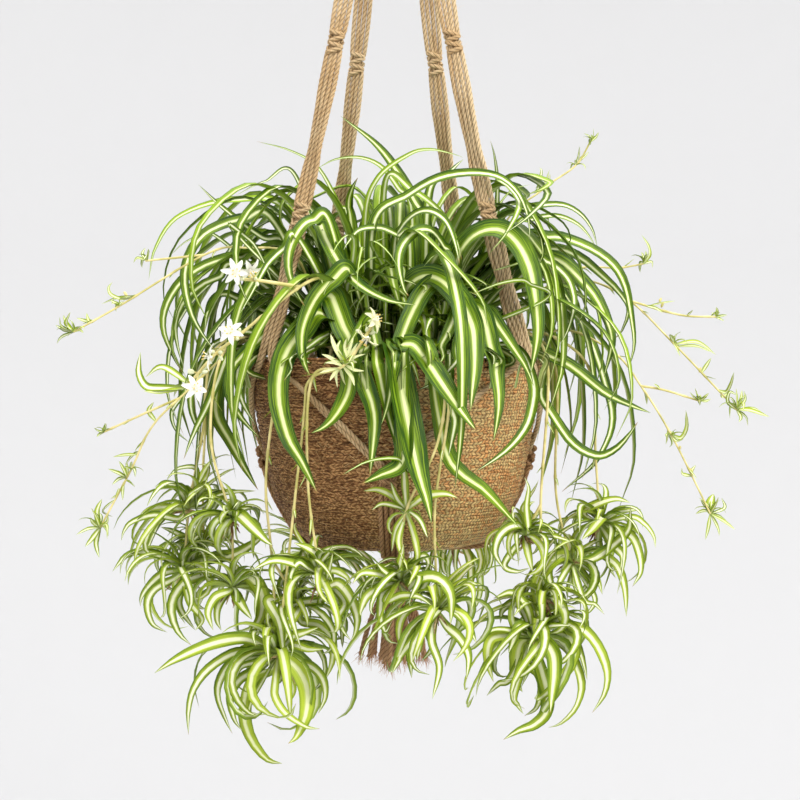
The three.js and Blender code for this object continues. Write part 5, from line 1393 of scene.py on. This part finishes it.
# %% The trailing groups at the centre, the right and the back
GROUPS["trailing_centre"] = {
    "peg": (42, -78),
    "stems": [
        (428, 352, -130, 445, 388, -139, 437, 446, -140, 406, 513, -128, 401, 578, -112), (432, 354, -128,
        450, 394, -141, 436, 500, -130, 436, 560, -118, 438, 610, -112),
    ],
    "sprigs": [
        (7, 405, 508, 392, 496, 378, 490, 364, 491), (8, 406, 508, 425, 497, 445, 494, 458, 498), (7, 405,
        510, 405, 485, 404, 466, 402, 450), (6, 405, 514, 396, 530, 392, 552), (7, 406, 512, 413, 532, 418,
        556, 412, 572), (5, 405, 508, 384, 504, 372, 510), (5, 406, 510, 420, 520, 428, 538), (6, 405, 510,
        397, 498, 391, 482), (5, 405, 520, 399, 540, 403, 560),
    ],
    "plantlets": [(405, 514, -128, 26, 5), (400, 580, -112, 46, 7), (437, 612, -112, 62, 8)],
    "traced": [
        (8, 392, 579, 377, 574, 362, 574, 353, 584), (7, 396, 584, 379, 583, 364, 586, 353, 596), (9, 379,
        589, 367, 597, 361, 612, 362, 617), (7, 384, 592, 381, 606, 381, 619, 386, 632, 392, 622), (10, 392,
        577, 382, 569, 377, 563), (8, 399, 569, 402, 556, 404, 544), (7, 402, 579, 414, 564, 424, 556, 429,
        564, 422, 576), (11, 406, 591, 416, 581, 432, 577, 445, 584, 452, 599, 451, 626), (8, 387, 601, 402,
        596, 419, 597, 432, 606), (8, 432, 611, 414, 607, 402, 619, 399, 636, 402, 652), (10, 435, 619, 419,
        629, 411, 645, 411, 664, 412, 679), (7, 421, 629, 421, 642, 417, 662), (7, 429, 632, 432, 649, 422,
        662), (11, 439, 604, 455, 611, 469, 627, 477, 644), (9, 447, 627, 460, 639, 469, 657, 467, 680), (8,
        452, 592, 465, 582, 480, 586), (8, 404, 652, 399, 662, 392, 675), (7, 440, 610, 432, 640, 440, 668,
        433, 700),
    ],
}
GROUPS["trailing_right"] = {
    "peg": (88, -22),
    "stems": [
        (524, 334, -46, 548, 366, -66, 541, 505, -66, 544, 596, -62, 533, 638, -60), (526, 332, -40, 556,
        370, -46, 556, 490, -40, 572, 562, -38), (530, 330, -24, 588, 366, -22, 596, 460, -20, 600, 525,
        -18),
    ],
    "branches": [(541, 505, -66, 525, 535, -66)],
    "plantlets": [
        (525, 535, -66, 42, 6), (600, 524, -18, 54, 7), (572, 562, -38, 48, 7), (545, 598, -62, 42, 7), (532,
        638, -60, 70, 9),
    ],
    "traced": [
        (8, 521, 526, 509, 528, 499, 538, 496, 554, 505, 570), (7, 521, 536, 529, 556, 533, 572), (6, 505,
        564, 517, 572, 531, 568), (6, 529, 530, 527, 507, 529, 489, 525, 477), (5, 531, 515, 523, 509, 535,
        489, 539, 480), (13, 568, 556, 556, 558, 543, 572, 537, 589, 538, 609, 539, 619), (8, 568, 562, 558,
        558, 549, 570, 553, 587, 564, 597), (12, 577, 552, 576, 566, 575, 583, 578, 595), (10, 580, 562, 596,
        558, 613, 546, 629, 530, 631, 507), (5, 551, 536, 560, 538, 572, 542), (9, 603, 517, 592, 530, 582,
        540), (6, 605, 521, 617, 513, 633, 510, 642, 510), (9, 584, 513, 600, 503, 617, 499, 631, 503), (6,
        631, 517, 645, 524, 654, 536, 656, 548), (9, 629, 534, 639, 552, 641, 572, 633, 587), (10, 613, 544,
        623, 556, 621, 570), (9, 600, 550, 617, 566, 625, 587, 627, 617), (7, 584, 566, 596, 575, 603, 595),
        (8, 580, 570, 590, 583, 584, 593, 576, 595), (7, 594, 595, 592, 609, 580, 619), (6, 584, 599, 596,
        605, 605, 615), (6, 551, 591, 560, 607, 572, 615, 584, 621), (9, 531, 617, 523, 601, 511, 593, 494,
        599), (9, 525, 615, 515, 603, 503, 611, 501, 624), (10, 527, 628, 519, 628, 513, 644, 509, 654), (6,
        515, 632, 496, 630, 480, 638), (10, 511, 636, 492, 640, 488, 660, 494, 683), (14, 521, 644, 517, 660,
        517, 681, 523, 693), (8, 511, 679, 499, 685, 487, 697), (9, 515, 693, 519, 707, 524, 715), (9, 529,
        664, 539, 675, 542, 691, 537, 709, 525, 717), (13, 545, 642, 554, 656, 555, 675, 553, 695, 551, 714),
        (10, 551, 640, 568, 650, 578, 669, 582, 689, 576, 709, 562, 724, 549, 729), (10, 541, 617, 558, 621,
        572, 636, 582, 656, 588, 681), (11, 568, 625, 586, 632, 600, 650, 608, 673, 605, 695, 593, 714), (12,
        547, 690, 547, 713, 535, 726, 519, 732, 504, 741), (10, 539, 619, 537, 632, 540, 642), (6, 547, 628,
        558, 626, 572, 626), (8, 531, 660, 545, 670, 547, 681),
    ],
}
GROUPS["trailing_back"] = {
    "peg": (10, 88),
    "stems": [
        (404, 336, 136, 425, 400, 150, 440, 470, 138, 452, 548, 118), (392, 336, 136, 350, 400, 150, 330,
        480, 140, 322, 560, 124),
    ],
    "plantlets": [(452, 546, 118, 58, 8), (322, 560, 124, 62, 8)],
}
print(len(GROUPS), "groups so far")

# %% Thin runners at the left
GROUPS["runner_left_upper"] = {
    "peg": (-60, -10),
    "stems": [(300, 262, -56, 245, 248, -70, 205, 255, -80, 120, 306, -92, 74, 332, -96)],
    "branches": [(205, 255, -80, 146, 261, -84)],
    "plantlets": [(74, 332, -96, 17, 3), (120, 306, -92, 12, 2.6), (146, 259, -84, 11, 2.6)],
    "buds": [(126, 294, -90)],
    "sprigs": [
        (3.2, 139, 298, 124, 299, 112, 295, 109, 288, 113, 282), (2.6, 137, 299, 118, 298, 102, 304), (3,
        122, 307, 116, 303, 111, 300), (3.6, 101, 326, 91, 322, 77, 318), (2.4, 97, 325, 89, 320, 87, 313),
        (4.5, 75, 333, 67, 323, 71, 312), (3.5, 75, 333, 65, 330, 56, 325), (3, 74, 333, 62, 337, 57, 344),
        (2.6, 75, 333, 62, 326, 60, 317), (2.6, 75, 333, 80, 330, 84, 333), (3, 74, 333, 66, 321, 64, 315),
        (2.6, 147, 260, 138, 258, 134, 263), (2.4, 147, 260, 143, 254, 146, 248), (2.4, 148, 260, 149, 254,
        149, 249),
    ],
}
GROUPS["runner_left_flowering"] = {
    "peg": (-52, -58),
    "stems": [
        (340, 296, -50, 328, 278, -84, 300, 287, -124, 240, 335, -140, 215, 355, -142, 186, 388, -142),
    ],
    "branches": [(300, 287, -124, 262, 281, -132, 240, 279, -136)],
    "stem": 1.6,
    "plantlets": [(186, 388, -142, 18, 3.4)],
    "sprigs": [
        (7, 180, 384, 160, 388, 146, 386, 139, 372, 141, 352), (6, 182, 376, 163, 367, 146, 377), (4, 180,
        388, 160, 392, 144, 391),
    ],
}
GROUPS["runner_left_lower"] = {
    "peg": (-88, 4),
    "stems": [(262, 328, -30, 180, 398, -98, 150, 430, -104, 131, 470, -105, 100, 528, -106)],
    "branches": [(180, 398, -98, 148, 412, -104, 104, 432, -108)],
    "plantlets": [(99, 526, -106, 24, 3.4), (131, 470, -105, 14, 3), (104, 432, -108, 12, 2.6)],
    "sprigs": [
        (3.6, 158, 421, 149, 411, 154, 402), (3, 131, 421, 127, 422, 123, 425), (3, 105, 434, 99, 431, 94,
        428), (2.6, 105, 434, 106, 428, 105, 423), (2.4, 106, 435, 100, 434, 97, 437), (3.4, 143, 454, 132,
        456, 125, 465), (2.8, 136, 455, 124, 455, 113, 457), (4, 131, 478, 118, 473, 108, 469), (3.6, 131,
        478, 124, 470, 119, 461), (3.6, 124, 478, 130, 482, 135, 487), (3, 129, 478, 119, 479, 112, 485),
        (2.6, 130, 478, 127, 468, 127, 462), (2.6, 124, 500, 116, 496, 111, 499), (2.4, 122, 504, 107, 506,
        103, 512, 113, 517), (2.6, 120, 498, 118, 493, 119, 488), (5, 101, 528, 97, 512, 102, 499), (3, 100,
        530, 88, 529, 76, 535), (4.4, 101, 531, 92, 539, 85, 547), (4, 102, 532, 96, 543, 99, 558), (3, 100,
        528, 93, 523, 90, 517), (3.2, 101, 529, 107, 522, 108, 515), (3, 99, 528, 96, 517, 91, 508),
    ],
}
print(len(GROUPS), "groups so far")

# %% Thin runners at the right
GROUPS["runner_right_upper"] = {
    "peg": (66, 6),
    "stems": [(520, 270, 16, 590, 281, 10, 630, 301, 6, 674, 344, 3, 737, 410, -6)],
    "branches": [(630, 301, 6, 680, 315, 4, 716, 317, 2)],
    "plantlets": [(738, 409, -6, 24, 3.4), (716, 316, 2, 11, 2.6), (674, 344, 3, 22, 3)],
    "buds": [(660, 300, 5), (662, 305, 5), (700, 370, 0)],
    "sprigs": [
        (4, 674, 344, 697, 342, 716, 355), (2.8, 678, 347, 696, 346, 711, 352), (3.4, 702, 374, 706, 366,
        711, 358), (2.6, 716, 395, 722, 397, 728, 393), (4, 718, 392, 726, 392, 731, 384, 734, 372), (3, 738,
        408, 728, 402, 730, 392, 738, 396), (2.8, 738, 408, 737, 398, 736, 388), (2.8, 738, 408, 741, 399,
        742, 390), (2.6, 739, 408, 745, 400, 744, 391), (4, 738, 409, 750, 410, 770, 417), (3, 738, 410, 746,
        417, 748, 426), (3, 738, 410, 741, 417, 739, 422), (3.2, 737, 408, 733, 400, 729, 397), (2.6, 739,
        408, 752, 408, 762, 412), (3, 645, 305, 655, 308, 663, 313), (1.8, 648, 306, 661, 303, 675, 301),
        (2.4, 686, 316, 690, 313, 693, 310), (2.6, 715, 318, 717, 312, 716, 307), (3, 715, 318, 721, 316,
        727, 315), (2.4, 714, 318, 720, 319, 724, 321),
    ],
}
GROUPS["runner_right_lower"] = {
    "peg": (92, 22),
    "stems": [(560, 330, 6, 613, 352, -8, 641, 386, -12, 672, 436, -16, 711, 514, -22)],
    "branches": [(641, 386, -12, 664, 390, -14, 700, 401, -18)],
    "plantlets": [(712, 512, -22, 22, 3.4), (672, 436, -16, 15, 3), (700, 400, -18, 11, 2.6)],
    "buds": [(680, 448, -17), (691, 470, -18)],
    "sprigs": [
        (2.6, 660, 389, 657, 386, 654, 384), (3, 699, 400, 697, 394, 695, 388), (2.8, 700, 401, 705, 397,
        709, 393), (2.6, 700, 401, 706, 401, 711, 399), (2.4, 699, 400, 693, 396, 690, 392), (4, 671, 435,
        681, 438, 687, 427, 686, 410), (2.6, 671, 436, 677, 441, 684, 439), (3.4, 688, 478, 683, 474, 682,
        468), (2.6, 688, 478, 692, 471, 696, 465), (8, 712, 513, 711, 503, 714, 494), (3, 711, 512, 703, 511,
        696, 514), (3, 713, 513, 725, 508, 722, 498), (3, 713, 513, 724, 521, 736, 530), (3, 712, 514, 709,
        527, 706, 540), (3, 713, 514, 718, 527, 720, 536), (2.6, 711, 512, 704, 504, 701, 499), (2.8, 712,
        513, 719, 516, 727, 521), (2.6, 712, 513, 717, 503, 719, 497),
    ],
}
GROUPS["runner_top_right"] = {
    "peg": (52, 40),
    "stems": [(500, 232, 60, 542, 190, 64, 575, 166, 66, 591, 140, 68)],
    "plantlets": [(591, 140, 68, 10, 2.6), (575, 166, 66, 14, 2.6), (542, 190, 64, 14, 2.6)],
    "sprigs": [
        (3, 536, 196, 540, 178, 541, 171, 539, 168), (2, 537, 196, 545, 182, 549, 170), (2.4, 577, 169, 578,
        157, 579, 147), (1.8, 580, 165, 585, 156, 588, 152), (3, 592, 148, 592, 138, 593, 129), (3, 592, 146,
        590, 138, 583, 134), (3, 593, 145, 595, 138, 598, 133),
    ],
}
GROUPS["runner_right_small"] = {
    "peg": (72, 52),
    "stems": [(560, 276, 50, 620, 268, 46, 643, 264, 44)],
    "plantlets": [(643, 262, 44, 16, 3)],
    "sprigs": [
        (3.6, 643, 264, 649, 255, 648, 246, 641, 235), (2.6, 643, 264, 643, 257, 641, 252), (2.8, 643, 264,
        651, 262, 652, 268), (2.4, 643, 264, 646, 258, 645, 251),
    ],
}
print(len(GROUPS), "groups with", sum(len(group["plantlets"]) for group in GROUPS.values()), "plantlets")

# %% Stems with joints and bracts
STEM_RADIUS = 1.3
TWIG_RADIUS = 1.05
SMALL_PLANTLET = 35
JOINT_EVERY = 38.0
JOINT_SWELLS = 0.35
JOINT_LENGTH = 2.2
STEM_POINT_EVERY = 2.2
STEM_SIDES = 8
STEM_THINS = 0.75
FIRST_BRACT = 70.0
BRACT_WIDTH = 2.6
BRACT_STEPS = 8


def is_trailing(group):
    return any(plantlet[3] > SMALL_PLANTLET for plantlet in group["plantlets"])


def paths(group, key):
    """The places of each stem or branch, one row of across, down and depth for each."""
    return [np.reshape(run, (-1, 3)) for run in group.get(key, [])]


def stem_lines(group):
    """The points of each stem, from the peg in the soil, and of each branch."""
    x, y = group["peg"]
    foot = np.array([x, y, CROWN_TOP_Z - 8])
    peg_top = np.array([1.04 * x, 1.04 * y, CROWN_TOP_Z + 14])
    stems = [[foot, peg_top, *[seen(*place) for place in path]] for path in paths(group, "stems")]
    return stems, [[seen(*place) for place in path] for path in paths(group, "branches")]


def stem_skin(skin, bracts, points, radius, draws):
    """A tube that thins to 0.75 of its radius, with joints where it swells by 0.35 exp(-(s/l)^2) of it. A
    narrow bract stands at each joint but the first."""
    reach = length_along(curve(points, 80))[-1]
    count = max(12, int(reach / STEM_POINT_EVERY))
    spine = curve(points, count)
    s = np.linspace(0, reach, count)
    joints = np.arange(JOINT_EVERY * draws.uniform(0.8, 1.6), reach - 6, JOINT_EVERY)
    swelling = sum((np.exp(-(((s - joint) / JOINT_LENGTH) ** 2)) for joint in joints), 0 * s)
    thick = radius * mix(1, STEM_THINS, s / reach) * (1 + JOINT_SWELLS * swelling)
    tone = draws.random()
    skin.loft(tube(spine, thick, STEM_SIDES), along=s[:, None], tone=tone)
    along = unit(np.gradient(spine, axis=0))
    for joint in joints:
        if joint < FIRST_BRACT:
            continue
        i = int(joint / reach * (count - 1))
        side = unit(np.cross(along[i], draws.normal(size=3)))
        length = draws.uniform(7, 15)
        way = along[i] * 0.8 + side * 0.5
        tip = spine[i] + length * (way + 0.15 * side - 0.15 * UP)
        bract = {"points": [spine[i], spine[i] + length * 0.5 * way, tip], "width": BRACT_WIDTH}
        leaf_skin(bracts, bract | {"tone": draws.uniform(0.6, 1)}, BRACT_STEPS, SMALL)


print("groups with large plantlets:", [name for name, group in GROUPS.items() if is_trailing(group)])

# %% The leaves of a plantlet
DENSE = {"large": 40, "large_traced": 24, "small": 13, "small_traced": 5}
TRACED_STEPS = 18
BROAD = 8
SPRIG_WIDTH = 1.1
SPRIG_STEPS = 12
SPRIG_DEPTH = 16
TRACED_WIDTH = 1.05
TRACED_NEAR = 5
TRACED_DEPTHS = (-34, 8)
LOOKED_AT = 90
LARGE_STEPS = 13
SMALL_STEPS = 9
BLADE_WIDTH = 1.15
BUD_RADIUS = 1.2
BUD_LENGTH = 5.0
PLANT_LEAN = 0.3
TRACED_BLADE = {"facing": LEAN, "fold": 0.7, "blunt": 4}
ROOTS = 7
ROOT_POINTS = 7
ROOT_RADIUS = 1.3


def plantlet_leaf(heart, size, i, count, draws, width):
    """Leaf i of n leaves, in azimuth by the golden angle. With level = (i + 1/2)/n the inner leaves are
    short and stand, and the outer ones are long and lean; each curls over. Small plants stay open."""
    level = (i + 0.5) / count
    azimuth = i * GOLDEN_ANGLE + draws.uniform(-30, 30)
    length = size * mix(0.85, 1.75, level**0.8) * draws.uniform(0.75, 1.12)
    rise = mix(92, 14, level) + draws.uniform(-22, 22)
    turn = mix(100, 175, level) * draws.uniform(0.7, 1.6)
    if size < SMALL_PLANTLET:
        length, rise, turn = 0.62 * length, rise + 10, 0.6 * turn
    return {
        "points": curling(heart, azimuth, length, rise, turn, draws.uniform(-120, 120)),
        "width": width * mix(0.75, 1.0, level) * draws.uniform(0.8, 1.15),
        "tone": draws.random(),
        "twist": draws.uniform(-0.7, 0.7),
        "fold": 0.9,
    }


def ball_skin(skin, middle, axis, radius, length, tone):
    """An egg: the radius at place p of the axis, from -1 to 1, is r sqrt(1 - p^2)."""
    p = np.sin(np.linspace(-0.47, 0.47, 7) * math.pi)
    skin.loft(tube(middle + length / 2 * np.outer(p, axis), radius * np.sqrt(1 - p**2), 8), tone=tone)


def sprig_leaf(entry, group, draws):
    """A small leaf traced in the picture. It starts on the nearest stem, whose depth it takes, and leans a
    little towards the front or the back."""
    width, *run = entry
    places = np.reshape(run, (-1, 2))
    on_stems = [curve(path, LOOKED_AT) for path in paths(group, "stems") + paths(group, "branches")]
    on_stems = np.concatenate(on_stems)
    apart = np.hypot(on_stems[:, 0] - places[0][0], on_stems[:, 1] - places[0][1])
    foot = on_stems[np.argmin(apart)]
    depths = foot[2] + draws.uniform(-SPRIG_DEPTH, SPRIG_DEPTH) * np.linspace(0, 1, len(places))
    points = [seen(*foot), *[seen(*place, depth) for place, depth in zip(places[1:], depths[1:])]]
    tone = group.get("sprig_tone", draws.uniform(0.3, 1.0))
    return TRACED_BLADE | {"points": points, "width": width * SPRIG_WIDTH, "tone": tone}


def traced_leaf(entry, plantlets, draws):
    """A plantlet's leaf traced in the picture. It grows from the nearest heart, whose depth it takes, and
    leans towards the front or the back with the root of the share of its length."""
    width, *run = entry
    places = np.reshape(run, (-1, 2))
    apart = [math.hypot(heart[0] - places[0][0], heart[1] - places[0][1]) for heart in plantlets]
    heart = plantlets[int(np.argmin(apart))]
    line = [heart[:2], *places[0 if min(apart) > TRACED_NEAR else 1:]]
    depths = heart[2] + draws.uniform(*TRACED_DEPTHS) * np.sqrt(np.linspace(0, 1, len(line)))
    points = [seen(*place, depth) for place, depth in zip(line, depths)]
    return TRACED_BLADE | {"points": points, "width": TRACED_WIDTH * width, "tone": draws.uniform(0.1, 0.75)}


def root_skin(skin, heart, size, draws):
    """Stubby tapering roots below a plantlet."""
    for _ in range(ROOTS):
        way = unit(draws.normal(size=3) * (1, 1, 0.5) - 0.7 * UP)
        length = size * draws.uniform(0.16, 0.34)
        share = np.linspace(0, 1, ROOT_POINTS)[:, None]
        spine = heart - 2 * UP + length * (share * way - 0.35 * share**2 * UP)
        spine += 0.4 * draws.normal(size=spine.shape) * share
        skin.loft(tube(spine, ROOT_RADIUS * (1 - 0.8 * share[:, 0] ** 2), 6), tone=draws.random())


def group_seed(group):
    x, y = group["peg"]
    return round(abs(x * 31 + y)) + 7


print(sum(len(group["plantlets"]) for group in GROUPS.values()), "plantlets in all")

# %% [markdown]
# The plantlets' leaves are the same drawing in younger colours: bright yellow-green with a pale stripe. The
# runners are straw-yellow, with fine lines along them.

# %% Plantlet leaves, straw stems and roots
young_greens = (shade(86, 116, 0), shade(188, 206, 62), shade(250, 251, 206))
plantlet_leaf_finish = leaf_finish("plantlet_leaf", *young_greens, stripe=0.09, edge=0.38)
stem = Finish("runner_stem", Roughness=0.5)
stem_lines_seen = stem.noise(stem.at(stem.carried("along") * 0.02, stem.carried("tone") * 50, 0.0), 3.0, 3.0)
stem_patch = stem.noise(stem.place(), 60.0, 3.0)
straw_share = stem.step(stem_lines_seen * 0.6 + stem_patch * 0.4, 0.38, 0.62)
stem_colour = stem.mixed(straw_share, shade(186, 178, 98), shade(234, 218, 150))
stem.finished(stem_colour, height=stem_patch, depth=0.0003)
root = Finish("plantlet_root", Roughness=0.7)
root_patch = root.noise(root.place(), 240.0, 3.0)
root_colour = root.mixed(root.step(root_patch * 0.7 + root.carried("tone") * 0.3, 0.35, 0.65),
                         shade(120, 76, 46), shade(206, 178, 132))
root.finished(root_colour, height=root_patch, depth=0.0006)

for name, group in GROUPS.items():
    draws = np.random.default_rng(group_seed(group))
    leaves, stems, roots = Skin(), Skin(), Skin()
    trailing = is_trailing(group)
    sprigs, traced = group.get("sprigs", []), group.get("traced", [])
    for points in sum(stem_lines(group), []):
        stem_skin(stems, leaves, points, group.get("stem", STEM_RADIUS if trailing else TWIG_RADIUS), draws)
    for across, down, depth, size, width in group["plantlets"]:
        heart = seen(across, down, depth)
        large = size > SMALL_PLANTLET
        kind = "large" if large else "small"
        count = DENSE[f"{kind}_traced" if (traced if large else sprigs) else kind]
        lean = np.array([*draws.normal(size=2), 0.0]) * (PLANT_LEAN if large else 0)
        for i in range(count):
            leaf = plantlet_leaf(heart, size, i, count, draws, BLADE_WIDTH * width)
            leaf["points"] = leaf["points"] + (leaf["points"][:, 2:] - heart[2]) * lean
            leaf_skin(leaves, leaf, LARGE_STEPS if large else SMALL_STEPS, SMALL)
        if large:
            root_skin(roots, heart, size, draws)
    for entry in sprigs:
        leaf_skin(leaves, sprig_leaf(entry, group, draws), SPRIG_STEPS, SMALL)
    for across, down, depth in group.get("buds", []):
        bud = seen(across, down, depth)
        ball_skin(stems, bud, unit(0.5 * draws.normal(size=3) + UP), BUD_RADIUS, BUD_LENGTH, 0.8)
    for entry in traced:
        section = LARGE if entry[0] >= BROAD else SMALL
        leaf_skin(leaves, traced_leaf(entry, group["plantlets"], draws), TRACED_STEPS, section)
    slot = "plantlet_leaf" if trailing else "runner_stem"
    leaves.piece(f"{name}_leaves", slot, plantlet_leaf_finish, [name])
    stems.piece(f"{name}_stems", "runner_stem", stem.material, [name])
    if trailing:
        roots.piece(f"{name}_roots", "runner_stem", root.material, [name])

# %% [markdown]
# ## Flowers
# The runners carry small white stars: six narrow petals that curve back at their tips, six stamens with
# yellow anthers and a small egg in the middle. A petal is the leaf's strap again, short and broad. The two
# at the front are fading.

# %% Stars of six petals
FLOWER_RADIUS = 11.0
PETALS = 6
PETAL_STEPS = 12
PETAL_HALF = 2.15
PETAL_THICK = 0.35
STAMEN_LENGTH = 6.2
BUDS_EACH = 3
# each flower's middle, its stalk's start, the turn of its first petal, and the way that it faces
FLOWERS = {
    "flower_upper_outer": ((235, 272, -152), (240, 279, -136), 8, FORWARD),
    "flower_upper_inner": ((250, 270, -142), (256, 280, -133), -10, (0.6, -0.7, -0.3)),
    "flower_middle": ((231, 332, -154), (238, 337, -140), 20, FORWARD),
    "flower_lower": ((211, 357, -156), (217, 353, -142), 35, (-0.8, -0.5, 0.5)),
    "flower_tip": ((195, 388, -158), (199, 373, -142), 12, FORWARD),
    "flower_front_upper": ((374, 320, -134), (372, 326, -122), 30, (0.95, -0.4, 0.3)),
    "flower_front_lower": ((368, 338, -144), (366, 335, -127), 5, (-0.9, -0.35, -0.4)),
}
flower_draws = np.random.default_rng(17)
petals, stamens, stalks = Skin(), Skin(), Skin()


def petal_skin(skin, middle, way, out, tone):
    """Half the width is 2.15 sin(pi s^0.8)^0.7; the petal leans out, then curls back."""
    s = np.linspace(0.02, 0.985, PETAL_STEPS)[:, None]
    side = np.cross(way, out)
    spine = middle + FLOWER_RADIUS * (s * way + (0.34 * s - 0.42 * s**2.4) * out)
    half = PETAL_HALF * np.sin(math.pi * s**0.8) ** 0.7 + 0.2
    u = np.concatenate(SMALL)[None, :]
    under = np.repeat([0.0, 1.0], [len(part) for part in SMALL])[None, :]
    up = 0.35 * half * (u**2 - 0.3) - under * PETAL_THICK
    rings = spine[:, None] + (u * half)[..., None] * side + up[..., None] * out
    skin.loft(rings, across=u, share=s, tone=tone)


for name, (at, start, first_turn, faces) in FLOWERS.items():
    middle, by = seen(*at), seen(*start)
    out = unit(np.array(faces) + 0.3 * flower_draws.normal(size=3))
    right = unit(np.cross(out, UP))
    upright = np.cross(right, out)
    fading = 0.75 if "front" in name else flower_draws.uniform(0, 0.25)
    for k in range(PETALS):
        angle = math.radians(first_turn - 360 / PETALS * k + flower_draws.uniform(-5, 5))
        way = math.cos(angle) * right + math.sin(angle) * upright
        petal_skin(petals, middle, way, out, fading + 0.1 * flower_draws.random())
        turn = angle + math.pi / PETALS
        lean = unit(0.55 * (math.cos(turn) * right + math.sin(turn) * upright) + out)
        tip = middle + STAMEN_LENGTH * lean
        stamens.loft(tube(mix(middle, tip, np.linspace(0, 1, 4)[:, None]), 0.28, 6), tone=0.0)
        ball_skin(stamens, tip, unit(lean + 0.5 * right), 0.55, 2.2, 1.0)
    ball_skin(stamens, middle, out, 1.3, 3.2, 0.3)
    stalks.loft(tube(curve([by, mix(by, middle, 0.5) - UP, middle], 10), 0.7, 8), tone=0.8)
    for _ in range(BUDS_EACH):
        bud = by + 6 * unit(flower_draws.normal(size=3) + FORWARD + 0.5 * UP)
        stalks.loft(tube(mix(by, bud, np.linspace(0, 1, 4)[:, None]), 0.45, 6), tone=0.8)
        ball_skin(petals, bud, unit(bud - by), 1.5, 5.5, 0.5)

petal = Finish("flower_petal", Roughness=0.55, Specular_IOR_Level=0.3)
petal_vein = petal.noise(petal.at(petal.carried("across") * 6, petal.carried("share") * 0.5, 0.0), 1.6, 2.0)
fade_share = petal.carried("tone") + (petal_vein - 0.5) * 0.25
faded = petal.mixed(fade_share, shade(250, 250, 246), shade(226, 224, 168))
green_foot = 1 - petal.step(petal.carried("share"), 0.0, 0.25)
petal.finished(petal.mixed(green_foot * 0.4, faded, shade(206, 220, 150)), height=petal_vein, depth=0.0003)
anther = Finish("flower_stamen", Roughness=0.6)
pollen = anther.noise(anther.place(), 2200.0, 2.0)
pollen_share = anther.step(anther.carried("tone"), 0.4, 0.8)
anther_colour = anther.mixed(pollen_share, shade(246, 240, 226), shade(236, 206, 112))
anther.finished(anther_colour, height=pollen, depth=0.0001)
flower_nodes = list(FLOWERS)
petals.piece("flower_petals", "flower_petal", petal.material, flower_nodes)
stamens.piece("flower_stamens", "flower_petal", anther.material, flower_nodes)
stalks.piece("flower_stalks", "flower_petal", stem.material, flower_nodes)

# %% [markdown]
# ## The studio
# The photograph has a plain, almost white ground and very soft light from the upper right. A wide pale sweep
# closes the view from every side: a floor that rises into a wall all round, far enough off that a camera
# can go round the plant inside it. One large lamp gives the leaves their soft shine, and two weaker ones
# fill the shadows.

# %% Pale sweep
FLOOR_Z = -1.5
SWEEP_RADIUS = 2.9
SWEEP_BEND = 1.2
SWEEP_TOP = 2.4
SWEEP_ROUND = 96
bend = np.linspace(0, math.pi / 2, 16)
profile = [(r, FLOOR_Z) for r in np.linspace(0.001, SWEEP_RADIUS - SWEEP_BEND, 6)]
out, up = SWEEP_RADIUS - SWEEP_BEND * (1 - np.sin(bend)), FLOOR_Z + SWEEP_BEND * (1 - np.cos(bend))
profile += list(zip(out, up))
profile += [(SWEEP_RADIUS, z) for z in np.linspace(FLOOR_Z + SWEEP_BEND + 0.2, SWEEP_TOP, 6)]
grid = turned_skin(Skin(), profile, SWEEP_ROUND)
index = np.arange(grid.shape[0] * grid.shape[1]).reshape(grid.shape[:2])
after = np.roll(index, -1, axis=1)
faces = np.stack([index[:-1], after[:-1], after[1:], index[1:]], -1).reshape(-1, 4)[:, ::-1]
sweep_mesh = bpy.data.meshes.new("sweep")
sweep_mesh.from_pydata(grid.reshape(-1, 3).tolist(), [], faces.tolist())
sweep_mesh.shade_smooth()
sweep = linked("sweep", sweep_mesh)
paper = Finish("pale_paper", Roughness=0.95, Specular_IOR_Level=0.1)
paper.finished(shade(219, 219, 220))
sweep_mesh.materials.append(paper.material)
sweep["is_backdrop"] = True
print("a sweep of", len(faces), "faces")

# %% Soft light
WHITE = (1.0, 1.0, 1.0)
WARM_WHITE = (1.0, 0.985, 0.95)
LIT_PLACE = np.array([0.0, 0.0, -0.55])
SKY_STRENGTH = 0.85


def lamp(name, place, size, power, colour=WHITE):
    """A square lamp of a size in metres that looks at the plant's middle."""
    data = bpy.data.lights.new(name, "AREA")
    data.size = size
    data.energy = power
    data.color = colour
    made = linked(name, data)
    way = LIT_PLACE - np.array(place)
    flat = math.hypot(way[0], way[1])
    made.rotation_euler = (math.atan2(flat, -way[2]), 0, math.atan2(-way[0], way[1]))
    made.location = place


lamp("key", (1.2, -1.5, 0.9), 1.5, 54, WARM_WHITE)
lamp("fill", (-1.7, -1.2, 0.1), 1.6, 11)
lamp("top", (0.1, 0.4, 1.5), 2.0, 36)
world = bpy.data.worlds.new("studio")
world.use_nodes = True
world.node_tree.nodes["Background"].inputs["Color"].default_value = (*WHITE, 1)
world.node_tree.nodes["Background"].inputs["Strength"].default_value = SKY_STRENGTH
bpy.context.scene.world = world
bpy.context.scene.view_settings.view_transform = "Standard"
print("triangles in all", sum(pieces.values()))

# %% [markdown]
# ## Done
# The size of the finished plant is measured: the box round all that is shown, the sweep left out.

# %% Sizes and finish
low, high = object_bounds()
